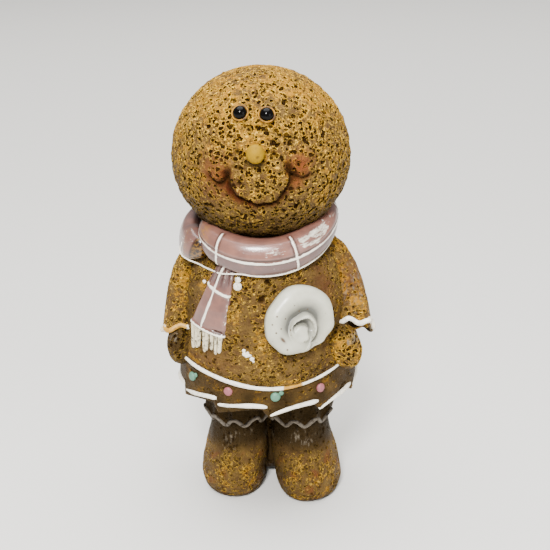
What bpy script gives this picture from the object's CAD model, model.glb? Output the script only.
"""Gingerbread figurine with a pink scarf and a white swirl sweet: its painted looks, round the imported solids.

Shapes are worked out in millimetres about the figure's own upright axis, and moved into the frame at the end.
Left and right are the viewer's, from the front. Azimuth is 0 at the front and grows to the right.
"""

import math

import bmesh
import bpy
import numpy as np
from bpy.props import FloatProperty, FloatVectorProperty, IntProperty, PointerProperty
from mathutils import Matrix, Vector, noise


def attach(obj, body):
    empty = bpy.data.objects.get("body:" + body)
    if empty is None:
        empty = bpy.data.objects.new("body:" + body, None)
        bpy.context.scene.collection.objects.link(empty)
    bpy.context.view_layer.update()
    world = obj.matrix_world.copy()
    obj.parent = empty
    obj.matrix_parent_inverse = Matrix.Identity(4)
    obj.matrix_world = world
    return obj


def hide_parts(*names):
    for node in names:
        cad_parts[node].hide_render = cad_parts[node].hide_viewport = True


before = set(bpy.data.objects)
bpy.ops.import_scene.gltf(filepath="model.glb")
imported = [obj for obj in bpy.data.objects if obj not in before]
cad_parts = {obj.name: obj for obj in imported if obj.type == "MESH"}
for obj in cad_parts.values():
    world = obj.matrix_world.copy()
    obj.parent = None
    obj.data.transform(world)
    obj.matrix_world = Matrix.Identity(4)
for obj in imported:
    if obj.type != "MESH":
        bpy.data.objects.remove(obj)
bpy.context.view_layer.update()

bl_info = {
    "name": "Gingerbread Figurine",
    "version": (1, 0, 0),
    "blender": (4, 5, 0),
    "location": "3D View > Sidebar > Figurine",
    "description": "Builds the painted surfaces of a cast gingerbread figurine round its solids",
    "category": "Add Mesh",
}

MM = 0.001
FULL = 2 * math.pi

# Driving dimensions, the same as the solids have, in millimetres and degrees.
FIGURE_SHIFT = (-0.1, 1.2)
HEAD_RADIUS, HEAD_HEIGHT, HEAD_SQUASH = 25.0, 105.3, 0.975
EYE_PLACES = {"eye_left": (-15.3, 40.1), "eye_right": (5.2, 38.8)}
NOSE_PLACE, NOSE_RADII = (-3.4, 15.0), (2.55, 2.3, 2.6)
SMILE = ((-22.0, 3.0), (-20.5, -5.0), (-15.0, -13.0), (-3.0, -18.0), (8.5, -16.5), (15.0, -8.0), (19.0, 1.0))
CREASE_LEFT = ((-32.0, -0.5), (-27.5, -3.8), (-23.0, -2.0), (-20.5, 4.0))
CREASE_RIGHT = ((15.8, 7.5), (17.3, 2.5), (22.0, -0.8), (28.5, -0.6))
CHEEKS = ((-27.7, 3.4, 2.6), (23.6, 6.2, 3.4))
# Where the face is reddened: azimuth, latitude, size and strength.
BLUSH_SPOTS = (
    (-29, 3.5, 4.8, 0.6), (-25.5, 1.5, 2.6, 0.8), (24.0, 6.3, 3.2, 0.95), (29.5, 10.0, 2.6, 0.45),
    (21.5, -5.0, 2.0, 0.75), (-29, -8, 5.0, 0.35),
)
# The largest pits: azimuth, latitude and radius on the face, and azimuth, height and radius on the dress.
FACE_PITS = (
    (-19.5, 14.2, 0.6), (12.6, 12.0, 0.55), (19.0, 21.0, 0.7), (10.5, 19.5, 0.6), (13.5, 26.0, 0.5),
    (-2.5, 31.5, 0.55), (-15.3, 16.3, 0.8), (7.5, 20.7, 0.85), (16.5, 22.9, 0.6), (8.1, 14.5, 0.7),
    (-24.5, 50.0, 0.5), (-10.9, 50.4, 0.55), (-7.6, 30.2, 0.5), (7.5, 31.3, 0.55), (-12.7, 6.4, 0.7),
    (-13.7, -2.8, 0.75), (-17.6, -5.0, 0.6), (41.8, 1.1, 0.6), (-65.4, 13.5, 0.7), (18.2, -8.9, 0.7),
    (4.2, 15.9, 0.55), (22.1, -21.8, 0.7), (-35.6, -22.2, 0.7),
)
DRESS_PITS = (
    (-3.5, 69.9, 1.0), (1.6, 74.5, 0.9), (-14.8, 72.5, 0.6), (34.2, 48.6, 0.6), (-1.5, 70.6, 0.7),
    (6.0, 71.5, 0.6),
)

DRESS_PROFILE = ((84, 13.5), (80, 17.4), (76, 19.6), (71, 21.3), (66, 22.6), (60, 23.8), (54, 24.8))
ARM_SWELL = 1.3
# The dress swells a little under the right hand: by how much, and its azimuth and breadth.
FLANK_SWELL, FLANK_AZIMUTH, FLANK_BREADTH = 1.0, 84, 9
LEDGE_RADIUS, WAIST_LINE, WAIST_DIP = 25.7, 48.2, (3.8, 7.0, 45.0)
BAND_RADIUS, DOT_LINE, DOT_DIP, DOT_COUNT = 25.2, 43.8, (1.8, 15.0, 45.0), 12
RIM_RADIUS, RIM_HEIGHT, RIM_WALL = 26.4, 36.9, 2.2
SCALLOPS, SCALLOP_STEP, UNDERSIDE_HEIGHT = 11, 2.3, 40.4
BUTTON, ICING_DAB = (-21.4, 73.2), (-12.0, 54.2)
# Crumbs of the icing dab: how far each lies from the dab's place, in azimuth and height, and its size.
DAB_CRUMBS = (
    (-3.4, 1.5, 0.6), (-3.0, 0.5, 0.7), (-1.7, 0.0, 0.55), (-0.9, 0.9, 0.5), (-0.2, 0.2, 0.6),
    (1.0, 0.2, 0.4), (1.8, -0.8, 0.7), (2.6, -1.7, 0.55), (2.9, -0.6, 0.35),
)

SLEEVE_RIGHT = ((12.0, 1.5, 77.0), (21.0, 0.5, 76.5), (25.6, -3.0, 66.0), (25.3, -9.4, 56.2))
SLEEVE_LEFT = ((-12.0, 1.5, 77.0), (-21.6, 0.5, 77.0), (-25.2, -1.0, 66.0), (-25.1, -5.2, 55.4))
SLEEVE_RADII = (6.0, 6.2, 5.7, 5.1, 4.8, 4.8, 5.4)
CUFF_WAVE, CUFF_TILTS = (0.09, 1.1), {1: 2.0, -1: 0.8}
HAND_RIGHT = ((22.1, -14.8, 51.8), (4.9, 4.7, 7.0), -20.0)
HAND_LEFT = ((-25.0, -7.6, 51.0), (4.5, 4.4, 6.4), 6.0)

LEG_LEVELS = (0.0, 1.2, 4.0, 9.0, 14.0, 19.0, 24.0, 30.0, 41.0)
LEG_SPREADS = (10.8, 10.8, 10.8, 10.6, 10.1, 9.5, 9.1, 9.0, 9.0)
LEG_HALF_WIDTHS = (8.9, 10.4, 11.0, 10.7, 9.8, 9.1, 8.6, 8.4, 8.4)
LEG_HALF_DEPTHS = (11.0, 13.0, 13.9, 13.4, 12.2, 10.9, 9.9, 9.2, 8.8)
LEG_CENTRES = (-4.4, -4.4, -4.3, -4.0, -3.4, -2.6, -1.8, -1.0, 0.0)
LEFT_FOOT_BACK = 4.0
LEG_WEB = ((2.4, 5.0, 3.0), (5.0, 8.0, 5.2), (20.0, 9.0, 6.4), (41.0, 9.0, 7.4))
# Rings of a trouser ruffle: half width, half depth, rise and height of the waves.
RUFFLE_RINGS = (
    (8.7, 9.4, 15.0, 0.0), (9.3, 10.4, 6.5, 0.2), (10.3, 11.6, 0.0, 0.8), (9.0, 10.2, 0.8, 0.4),
    (7.0, 8.0, 2.2, 0.0),
)
RUFFLE_HEIGHT, RUFFLE_WAVES = 25.0, 10

SCARF_RADIUS, SCARF_HEIGHT, SCARF_RISE = 18.5, 81.2, 7.0
SCARF_HALF, WRAP_HALF = (3.4, 5.0), (3.2, 4.6)
# Where the main roll and the under turn start and end, and over how many degrees the under turn sinks.
SCARF_SPAN, WRAP_SPAN, WRAP_SINK = (-76.0, 196.0), (168.0, 304.0), 210.0
# Stripes across the main roll: azimuth and lean.
CROSS_STRIPES = ((-36.8, 0.35), (23.6, -0.45), (86.0, 0.0), (140.0, 0.3))
# The bright edge line from the under turn over the dress to the main roll: azimuth, radius and height.
EDGE_LINE = (
    (-106, 24.1, 80.6), (-97, 24.45, 79.5), (-85, 24.4, 78.5), (-76, 24.2, 77.9), (-69, 23.2, 77.4),
    (-62, 21.1, 76.6), (-54, 20.45, 76.2), (-46, 20.35, 76.1), (-39, 20.8, 76.2), (-33, 21.35, 76.5),
)
TAIL_FRONT = {"top": (-33.2, 79.0), "bottom": (-44.6, 61.2), "half": (7.8, 16.2), "fringe": (-44.5, 52.8)}
TAIL_BACK = {"top": (-113.0, 81.0), "bottom": (-122.0, 60.0), "half": (9.5, 15.0), "fringe": (-124.0, 51.5)}
TAIL_THICKNESS, TAIL_SINK = 2.4, 0.9
CLOTH_ROWS, FRINGE_ROWS, STRAND_POINTS = 84, 26, 22

SWEET_PLACE, SWEET_STANDOFF, SWEET_LEAN = (20.0, 62.3), 26.0, 12.0
# The swirl's groove and the sweet's outline: degrees clockwise from the right, and radius.
SWEET_GROOVE = (
    (150, 2.5), (175, 2.3), (277, 1.8), (377, 2.3), (425, 3.9), (497, 4.0), (567, 3.6), (610, 3.8),
    (668, 5.1), (776, 4.8),
)
SWEET_OUTLINE = (
    (0, 10.5), (30, 8.5), (60, 7.0), (92, 6.9), (140, 8.5), (180, 9.6), (225, 10.4), (270, 12.0),
    (315, 12.0), (360, 10.5),
)
# Where the two coils run into each other without a groove: the middle, and half the stretch, in degrees.
SWEET_MERGE = (478, 62)
# Rings of the sweet's side and back: share of the outline, and height.
SWEET_SIDES = ((1.0, -0.6), (0.995, -1.3), (0.97, -2.1), (0.93, -2.6), (0.6, -2.6), (0.1, -2.6))

# The camera: its place from the figure's axis, its yaw, pitch and roll in degrees, and its focal length.
CAMERA_PLACE, CAMERA_TURN = (0.0, -270.46, 177.97), (0.624, 22.055, -1.626)
FOCAL_PIXELS, PHOTO_PIXELS, SENSOR_WIDTH = 992.8, 550, 36.0
# Soft lights: name, place and target in metres, size in metres, and watts.
LIGHTS = (
    ("key", (-0.07, -0.42, 0.46), (0, 0, 0.085), 0.15, 8.0),
    ("ceiling", (0.0, 0.3, 2.0), (0, 0, 0.0), 2.4, 110.0),
    ("fill", (0.50, -0.45, 0.22), (0, 0, 0.06), 0.4, 1.4),
)
ROOM_COLOUR, ROOM_STRENGTH, FLOOR_REACH = (1.0, 0.985, 0.96, 1.0), 0.32, 2.5

# The cuts along each side of the head's mesh, and its crags: depth, grain, and latitude where they end.
HEAD_CUTS, CRAG_DEPTH, CRAG_GRAIN, CROWN = 124, 0.4, 3.1, 66

TREES, FINISHES = {}, {}
# The node types used most.
MATH, VECTOR_MATH = "ShaderNodeMath", "ShaderNodeVectorMath"
MAP_RANGE, MIX = "ShaderNodeMapRange", "ShaderNodeMix"
NOISE, CELLS = "ShaderNodeTexNoise", "ShaderNodeTexVoronoi"


def linear(hex_colour):
    """An sRGB hex colour as linear red, green, blue."""
    parts = [int(hex_colour[i : i + 2], 16) / 255 for i in (1, 3, 5)]
    return [c / 12.92 if c <= 0.04045 else ((c + 0.055) / 1.055) ** 2.4 for c in parts]


def colour(name, default, description):
    """A colour that a user may change, given as sRGB hex."""
    return FloatVectorProperty(name=name, description=description, default=linear(default), subtype="COLOR",
        size=3, min=0, max=1)


def length(name, default, description):
    """A size that a user may change, given in millimetres."""
    return FloatProperty(name=name, description=description, default=default * MM, unit="LENGTH",
        subtype="DISTANCE", min=0, precision=5)


class FIGURINE_PG_sizes(bpy.types.PropertyGroup):
    """Sizes of the figurine's surface detail."""

    crust_pitch: length("Crust pitch", 1.18, "Distance between the pits of the baked crust")
    crust_depth: length("Crust depth", 0.5, "Depth of the pits of the baked crust")
    smile_depth: length("Smile depth", 1.25, "Depth of the smile and the cheek creases")
    eye_radius: length("Eye radius", 1.88, "Radius of the bead eyes")
    eye_rim: length("Eye rim", 0.26, "Radius of the thin rim round each eye")
    waist_line: length("Waist line", 0.64, "Radius of the piped line at the waist")
    hem_line: length("Hem line", 0.82, "Radius of the piped strokes on the hem")
    cuff_line: length("Cuff line", 0.8, "Radius of the piped line round each cuff")
    sugar_dot: length("Sugar dot", 1.45, "Radius of the sugar dots on the hem band")
    scarf_stripe: length("Scarf stripe", 0.36, "Half the width of the scarf's stripes")
    fringe_strand: length("Fringe strand", 0.84, "Radius of a strand of the scarf's fringe")
    fringe_count: IntProperty(name="Fringe strands", description="Strands in the fringe of each scarf end",
        default=8, min=3, max=20)
    swirl_depth: length("Swirl depth", 2.3, "Depth of the groove of the swirl sweet")


class FIGURINE_PG_colours(bpy.types.PropertyGroup):
    """Paint colours of the figurine."""

    dough_brown: colour("Dough brown", "#4C3620", "Brown ground coat of the dough")
    dough_tan: colour("Dough tan", "#674F28", "Tan middle tone of the dough")
    dough_gold: colour("Dough gold", "#9C6C14", "Gold dry-brushed on the ridges")
    dough_pale: colour("Dough highlight", "#F6C44C", "Pale lip round the pits")
    pit_brown: colour("Pit brown", "#1B0801", "Dark wash in pits and creases")
    wash_brown: colour("Wash brown", "#22170C", "Brown wash under edges")
    blush: colour("Cheek blush", "#74361A", "Orange-brown blush of the cheeks")
    lip_wine: colour("Lip wine", "#430C08", "Red-brown wash under the smile")
    frost: colour("Frost", "#6E6456", "Grey-white dry brush on legs, sleeves and hands")
    nose_gold: colour("Nose gold", "#87670C", "Paint of the nose")
    bead: colour("Bead black", "#060505", "Glossy black of the eyes")
    scarf_pink: colour("Scarf pink", "#84594B", "Dusky pink of the scarf")
    scarf_lilac: colour("Scarf lilac", "#5C433F", "Darker lilac of the scarf's folds")
    icing: colour("Icing", "#EDE6D5", "White icing and stripes")
    icing_shade: colour("Icing shade", "#9C917C", "Worn places of the white icing")
    fringe: colour("Fringe", "#CFC3A4", "Off-white of the fringe")
    sweet: colour("Sweet white", "#BFBDA9", "Ivory white of the swirl sweet")
    sweet_grey: colour("Sweet grey", "#55544D", "Grey shading in the swirl")
    mint: colour("Mint sugar", "#4E7A63", "Mint sugar dots")
    rose: colour("Rose sugar", "#8E4E55", "Rose sugar dots")
    ground: colour("Floor", "#CFCDC8", "Pale studio floor")


# Shapes, in millimetres.


def around(azimuth, radius, height):
    """Points at that azimuth, on a cylinder round the figure's axis."""
    a = np.radians(azimuth)
    return np.stack(np.broadcast_arrays(radius * np.sin(a), -radius * np.cos(a), height),
        axis=-1).astype(float)


def on_head(azimuth, latitude, radius=HEAD_RADIUS):
    """A point on the slightly squashed ball of the head."""
    lat = np.radians(latitude)
    return around(azimuth, radius * np.cos(lat), HEAD_HEIGHT + radius * HEAD_SQUASH * np.sin(lat))


def between(table, x):
    """Values of a falling (x, value) table, with straight lines between its rows."""
    rows = np.array(table, float)[::-1]
    return np.interp(x, rows[:, 0], rows[:, 1])


def eased(table, x):
    """Values of a rising (x, value) table, gliding from row to row."""
    xs, ys = np.array(table, float).T
    k = np.clip(np.searchsorted(xs, x, side="right") - 1, 0, len(xs) - 2)
    t = (1 - np.cos(np.pi * np.clip((x - xs[k]) / (xs[k + 1] - xs[k]), 0, 1))) / 2
    return ys[k] * (1 - t) + ys[k + 1] * t


def bump(x):
    """A soft hill: 1 at 0, falling away on both sides."""
    return np.exp(-np.square(x))


def ramp(x, low, high):
    """0 below low, 1 above high, and smooth between."""
    t = np.clip((x - low) / (high - low), 0, 1)
    return t * t * (3 - 2 * t)


def wander(points, size, seed=0.0):
    """Soft unevenness from -1 to 1 over points in millimetres, with lumps about that large."""
    x, y, z = np.moveaxis(np.asarray(points, float) * (3.0 / size) + seed, -1, 0)
    first = np.sin(x + 1.7 * np.sin(0.9 * y + 0.3))
    second = np.sin(1.1 * y + 1.9 * np.sin(0.8 * z + 1.1))
    third = np.sin(0.95 * z + 1.5 * np.sin(1.05 * x + 2.2))
    return (first + second + third) / 3


def smooth_path(points, count):
    """Points evenly spread over a smooth curve through the given ones."""
    p = np.array([[*map(float, q)] for q in points])
    p = np.vstack((2 * p[0] - p[1], p, 2 * p[-1] - p[-2]))
    at = np.linspace(0, len(points) - 1, count)
    k = np.minimum(at.astype(int), len(points) - 2)
    t = (at - k)[:, None]
    a, b, c, d = p[k], p[k + 1], p[k + 2], p[k + 3]
    return 0.5 * (2 * b + (c - a) * t + (2 * a - 5 * b + 4 * c - d) * t**2 + (3 * b - a - 3 * c + d) * t**3)


def refine(rings, steps, soften=2):
    """Rows of points between the given rings, with the corners softened."""
    rows = [rings[0]]
    for a, b, n in zip(rings, rings[1:], steps):
        rows += [a + (b - a) * k / n for k in range(1, n + 1)]
    rows = np.array(rows, float)
    for _ in range(soften):
        rows[1:-1] = (rows[:-2] + 2 * rows[1:-1] + rows[2:]) / 4
    return rows


def nearest(points, path):
    """Distance of each point to a path, and which of the path's points is nearest."""
    best, which = np.full(len(points), 1e9), np.zeros(len(points), int)
    for i, p in enumerate(path):
        d = np.linalg.norm(points - p, axis=1)
        closer = d < best
        best[closer], which[closer] = d[closer], i
    return best, which


def circle(count):
    """Angles, in radians, of that many points spread evenly round a circle."""
    return np.arange(count) / count * FULL


def bezier(bones, t):
    """Points of a cubic curve through four control points."""
    p = np.array(bones, float)
    s, t = 1 - np.asarray(t, float)[..., None], np.asarray(t, float)[..., None]
    return p[0] * s**3 + p[1] * (3 * s * s * t) + p[2] * (3 * s * t * t) + p[3] * t**3


def unit(v):
    """Vectors at length 1."""
    return v / np.maximum(np.linalg.norm(v, axis=-1), 1e-9)[..., None]


def turned_to(direction, place):
    """The matrix that puts local +Z along direction, at place, with local +Y as near up as it can be."""
    z = Vector(direction).normalized()
    x = Vector((0, 0, 1)).cross(z).normalized()
    y = z.cross(x)
    return Matrix.Translation(Vector(place)) @ Matrix((x, y, z)).transposed().to_4x4()


def moved(matrix, points):
    """Points carried along by a matrix."""
    m = np.array(matrix, float)
    return points @ m[:3, :3].T + m[:3, 3]


def egg(centre, radii, turn, rows, columns):
    """Rings of an egg from its lower to its upper pole, without the poles."""
    lat = (np.arange(rows) + 0.5) / rows * np.pi - np.pi / 2
    lon = circle(columns)
    across, up = np.cos(lat)[:, None], np.sin(lat)[:, None]
    ball = np.stack((across * np.cos(lon), across * np.sin(lon), up + 0 * lon), -1)
    return moved(Matrix.Translation(Vector(centre)) @ turn.to_4x4(), ball * np.array(radii))


def dip(azimuth, form):
    """How far a line round the dress sags near its front: depth, middle and breadth."""
    depth, middle, breadth = form
    return depth * bump(((azimuth - middle + 180.0) % 360.0 - 180.0) / breadth)


def hem_saw(azimuth):
    """From 0 to 1 across each scallop of the hem, rising to the right and dropping at its corner."""
    share = (azimuth * SCALLOPS / 360.0) % 1.0
    return np.where(share < 0.86, np.sin(share / 0.86 * np.pi / 2), (1.0 - share) / 0.14)


def side_swell(azimuth):
    """How much wider than deep the dress is at its hem."""
    return 0.8 * np.sin(np.radians(azimuth)) ** 2


def waist_point(azimuth, radius, lift=0.0):
    """Points along the waist line, which sags at the front."""
    return around(azimuth, radius + side_swell(azimuth), WAIST_LINE - dip(azimuth, WAIST_DIP) + lift)


def rim_point(azimuth, radius, lift=0.0):
    """Points along the scalloped rim of the hem."""
    saw = hem_saw(azimuth)
    return around(azimuth, radius + 0.7 * (1 - saw), RIM_HEIGHT + SCALLOP_STEP * (saw - 0.5) + lift)


# Meshes and node trees.


def to_object(name, points, faces, marks=None, material=None, stretch=(1.0, 1.0, 1.0)):
    """A mesh from millimetres, faces outwards, with its marks as attributes.

    The rest mark keeps each point's first place, for the patterns, and a stretch makes them longer one way.
    """
    points = np.asarray(points, float)
    size = np.linalg.norm(points.max(0) - points.min(0))
    if not np.isfinite(points).all() or size == 0:
        raise RuntimeError(f"{name} has no proper shape")
    volume = 0.0
    for f in faces:
        for j in range(2, f.shape[1]):
            normals = np.cross(points[f[:, j - 1]], points[f[:, j]])
            volume += np.einsum("ij,ij->i", points[f[:, 0]], normals).sum()
    listed = [face for f in faces for face in (f[:, ::-1] if volume < 0 else f).tolist()]
    mesh = bpy.data.meshes.new(name)
    mesh.from_pydata(((points + (*FIGURE_SHIFT, 0.0)) * MM).tolist(), [], listed)
    mesh.shade_smooth()
    rest = mesh.attributes.new("rest", "FLOAT_VECTOR", "POINT")
    rest.data.foreach_set("vector", (points * stretch).astype(np.float32).ravel())
    for mark, values in (marks or {}).items():
        layer = mesh.attributes.new(mark, "FLOAT", "POINT")
        layer.data.foreach_set("value", np.clip(values, 0, 1).astype(np.float32).ravel())
    if material:
        mesh.materials.append(material)
    obj = bpy.data.objects.new(name, mesh)
    bpy.context.scene.collection.objects.link(obj)
    return obj


def shell(rows):
    """Points and faces of a skin over closed rows of points. Each of its ends gets a middle point."""
    n, m, _ = rows.shape
    index = np.arange(n * m).reshape(n, m)
    beside = np.roll(index, -1, axis=1)
    quads = np.stack((index[:-1], beside[:-1], beside[1:], index[1:]), -1).reshape(-1, 4)
    points = np.vstack((rows.reshape(-1, 3), rows[0].mean(0), rows[-1].mean(0)))
    first = np.stack((beside[0], index[0], np.full(m, n * m)), -1)
    last = np.stack((index[-1], beside[-1], np.full(m, n * m + 1)), -1)
    return points, [quads, np.vstack((first, last))]


def capped(values):
    """Marks for a shell's grid, with those of its two middle points."""
    return np.concatenate((values.ravel(), (values[0].mean(), values[-1].mean())))


def shell_object(name, rows, marks=None, material=None, stretch=(1.0, 1.0, 1.0)):
    """An object with a closed skin over rows of points."""
    points, faces = shell(rows)
    marks = {k: capped(np.broadcast_to(v, rows.shape[:2])) for k, v in (marks or {}).items()}
    return to_object(name, points, faces, marks, material, stretch)


def lines_object(name, paths, girths, closed=False, marks=None):
    """Paths as a mesh of edges, with the strand's radius at each point."""
    points, edges, size, extra = [], [], [], {k: [] for k in (marks or {})}
    for i, (path, girth) in enumerate(zip(paths, girths)):
        first, n = len(points), len(path)
        points += np.asarray(path, float).tolist()
        size += np.broadcast_to(girth, n).tolist()
        for k, values in (marks or {}).items():
            extra[k] += np.broadcast_to(values[i], n).tolist()
        edges += [(first + j, first + j + 1) for j in range(n - 1)]
        if closed:
            edges.append((first + n - 1, first))
    mesh = bpy.data.meshes.new(name)
    mesh.from_pydata(((np.array(points) + (*FIGURE_SHIFT, 0.0)) * MM).tolist(), edges, [])
    for k, values in {"girth": np.array(size) * MM, **extra}.items():
        mesh.attributes.new(k, "FLOAT", "POINT").data.foreach_set("value", np.array(values, np.float32))
    obj = bpy.data.objects.new(name, mesh)
    bpy.context.scene.collection.objects.link(obj)
    return obj


def first_output(node):
    return next(s for s in node.outputs if s.enabled)


def add(tree, kind, feeds=None, **settings):
    """Adds a node with its settings, and its links and values by socket name or number.

    A node given as a feed gives its first output.
    """
    made = tree.nodes.new(kind)
    for name, value in settings.items():
        setattr(made, name, value)
    for key, value in (feeds or {}).items():
        socket = (
            made.inputs[key] if isinstance(key, int)
            else next(s for s in made.inputs if s.name == key and s.enabled)
        )
        if isinstance(value, bpy.types.Node):
            value = first_output(value)
        if isinstance(value, bpy.types.NodeSocket):
            tree.links.new(value, socket)
        else:
            socket.default_value = value
    return made


def crust_field(tree, place, density, pitch, bend=0.55):
    """Pits of a baked crust at a place in millimetres, for shapes and colours: their depth and their lips."""
    swirl = add(tree, NOISE, {"Vector": place, "Scale": 0.8 / pitch, "Detail": 2.0})
    bent = add(tree, VECTOR_MATH, {0: swirl.outputs["Color"], 1: (0.5, 0.5, 0.5)}, operation="SUBTRACT")
    shifted = add(tree, VECTOR_MATH, {0: bent, 1: (2 * bend * pitch,) * 3, 2: place},
        operation="MULTIPLY_ADD")
    cells = add(tree, CELLS, {"Vector": shifted, "Scale": 1.0 / pitch, "Randomness": 1.0})
    chance = add(tree, "ShaderNodeSeparateXYZ", {0: cells.outputs["Color"]})
    kept = add(tree, MATH, {0: density, 1: chance.outputs[0]}, operation="GREATER_THAN")
    radius = add(tree, MATH, {0: chance.outputs[1], 1: 0.24, 2: 0.26}, operation="MULTIPLY_ADD")
    inner = add(tree, MATH, {0: radius, 1: 0.08}, operation="SUBTRACT")
    outer = add(tree, MATH, {0: radius, 1: 0.10}, operation="ADD")
    far = add(tree, MATH, {0: radius, 1: 0.26}, operation="ADD")
    hole = add(tree, MAP_RANGE, {"Value": cells.outputs["Distance"], "From Min": outer, "From Max": inner},
        interpolation_type="SMOOTHSTEP")
    wide = add(tree, MAP_RANGE, {"Value": cells.outputs["Distance"], "From Min": far, "From Max": outer},
        interpolation_type="SMOOTHSTEP")
    edge = add(tree, MATH, {0: wide, 1: hole}, operation="SUBTRACT")
    some = add(tree, MATH, {0: chance.outputs[2], 1: 0.45, 2: 0.75}, operation="MULTIPLY_ADD")
    filled = add(tree, MATH, {0: hole, 1: some}, operation="MULTIPLY", use_clamp=True)
    pit = add(tree, MATH, {0: filled, 1: kept}, operation="MULTIPLY")
    lip = add(tree, MATH, {0: edge, 1: kept}, operation="MULTIPLY", use_clamp=True)
    return pit, lip


def new_tree(name, inputs):
    """A geometry tree with a geometry input and output, and named inputs given as (name, type, default)."""
    tree = bpy.data.node_groups.new(name, "GeometryNodeTree")
    tree.interface.new_socket("Geometry", in_out="INPUT", socket_type="NodeSocketGeometry")
    tree.interface.new_socket("Geometry", in_out="OUTPUT", socket_type="NodeSocketGeometry")
    for label, kind, default in inputs:
        socket = tree.interface.new_socket(label, in_out="INPUT", socket_type=kind)
        if default is not None:
            socket.default_value = default
    return tree, add(tree, "NodeGroupInput"), add(tree, "NodeGroupOutput")


def end_tree(tree, geometry, into, goes_in):
    """Closes a tree: shade smooth, realize, set the material, out."""
    smooth = add(tree, "GeometryNodeSetShadeSmooth", {"Geometry": geometry})
    real = add(tree, "GeometryNodeRealizeInstances", {"Geometry": smooth})
    painted = add(tree, "GeometryNodeSetMaterial",
        {"Geometry": real, "Material": goes_in.outputs["Material"]})
    tree.links.new(painted.outputs[0], into.inputs[0])


def crust_tree(pitch):
    """Baked crust: pits pressed into the surface where the pits mark allows them, on a fine grain."""
    tree, given, out = new_tree("Baked crust", (
        ("Depth", "NodeSocketFloat", 0.0005), ("Grain", "NodeSocketFloat", 0.00016),
        ("Material", "NodeSocketMaterial", None)))
    place = add(tree, "GeometryNodeInputNamedAttribute", {"Name": "rest"}, data_type="FLOAT_VECTOR")
    pits = add(tree, "GeometryNodeInputNamedAttribute", {"Name": "pits"}, data_type="FLOAT")
    rough = add(tree, "GeometryNodeInputNamedAttribute", {"Name": "rough"}, data_type="FLOAT")
    pit, lip = crust_field(tree, place.outputs[0], pits.outputs[0], pitch)
    fine = add(tree, NOISE, {"Vector": place.outputs[0], "Scale": 0.95, "Detail": 3.0, "Roughness": 0.6})
    level = add(tree, MATH, {0: fine, 1: 0.72}, operation="SUBTRACT")
    grain = add(tree, MATH, {0: level, 1: given.outputs["Grain"]}, operation="MULTIPLY")
    rise = add(tree, MATH, {0: lip, 1: 0.00005, 2: grain}, operation="MULTIPLY_ADD")
    sunk = add(tree, MATH, {0: pit, 1: given.outputs["Depth"]}, operation="MULTIPLY")
    net = add(tree, MATH, {0: rise, 1: sunk}, operation="SUBTRACT")
    held = add(tree, MATH, {0: net, 1: rough.outputs[0]}, operation="MULTIPLY")
    push = add(tree, VECTOR_MATH, {0: add(tree, "GeometryNodeInputNormal"), "Scale": held}, operation="SCALE")
    shaped = add(tree, "GeometryNodeSetPosition", {"Geometry": given.outputs["Geometry"], "Offset": push})
    end_tree(tree, shaped, out, given)
    return tree


def strand_tree():
    """Piped strand: a lumpy rod along each path, as thick as the girth mark says, with rounded ends."""
    tree, given, out = new_tree("Piped strand", (
        ("Step", "NodeSocketFloat", 0.0004), ("Lumps", "NodeSocketFloat", 0.25),
        ("Seed", "NodeSocketFloat", 0.0), ("Sides", "NodeSocketInt", 12),
        ("Material", "NodeSocketMaterial", None)))
    curve = add(tree, "GeometryNodeMeshToCurve", {"Mesh": given.outputs["Geometry"]})
    even = add(tree, "GeometryNodeResampleCurve", {"Curve": curve}, mode="LENGTH")
    tree.links.new(given.outputs["Step"], even.inputs["Length"])
    girth = add(tree, "GeometryNodeInputNamedAttribute", {"Name": "girth"}, data_type="FLOAT")
    lumps = add(tree, NOISE, {"Vector": add(tree, "GeometryNodeInputPosition"), "W": given.outputs["Seed"],
        "Scale": 520.0, "Detail": 1.0}, noise_dimensions="4D")
    away = add(tree, MATH, {0: lumps, 1: 0.62}, operation="SUBTRACT")
    factor = add(tree, MATH, {0: away, 1: given.outputs["Lumps"], 2: 1.0}, operation="MULTIPLY_ADD")
    size = add(tree, MATH, {0: girth.outputs[0], 1: factor}, operation="MULTIPLY")
    ring = add(tree, "GeometryNodeCurvePrimitiveCircle",
        {"Resolution": given.outputs["Sides"], "Radius": 1.0})
    rod = add(tree, "GeometryNodeCurveToMesh",
        {"Curve": even, "Profile Curve": ring, "Scale": size, "Fill Caps": True})
    end_tree(tree, rod, out, given)
    return tree


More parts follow.
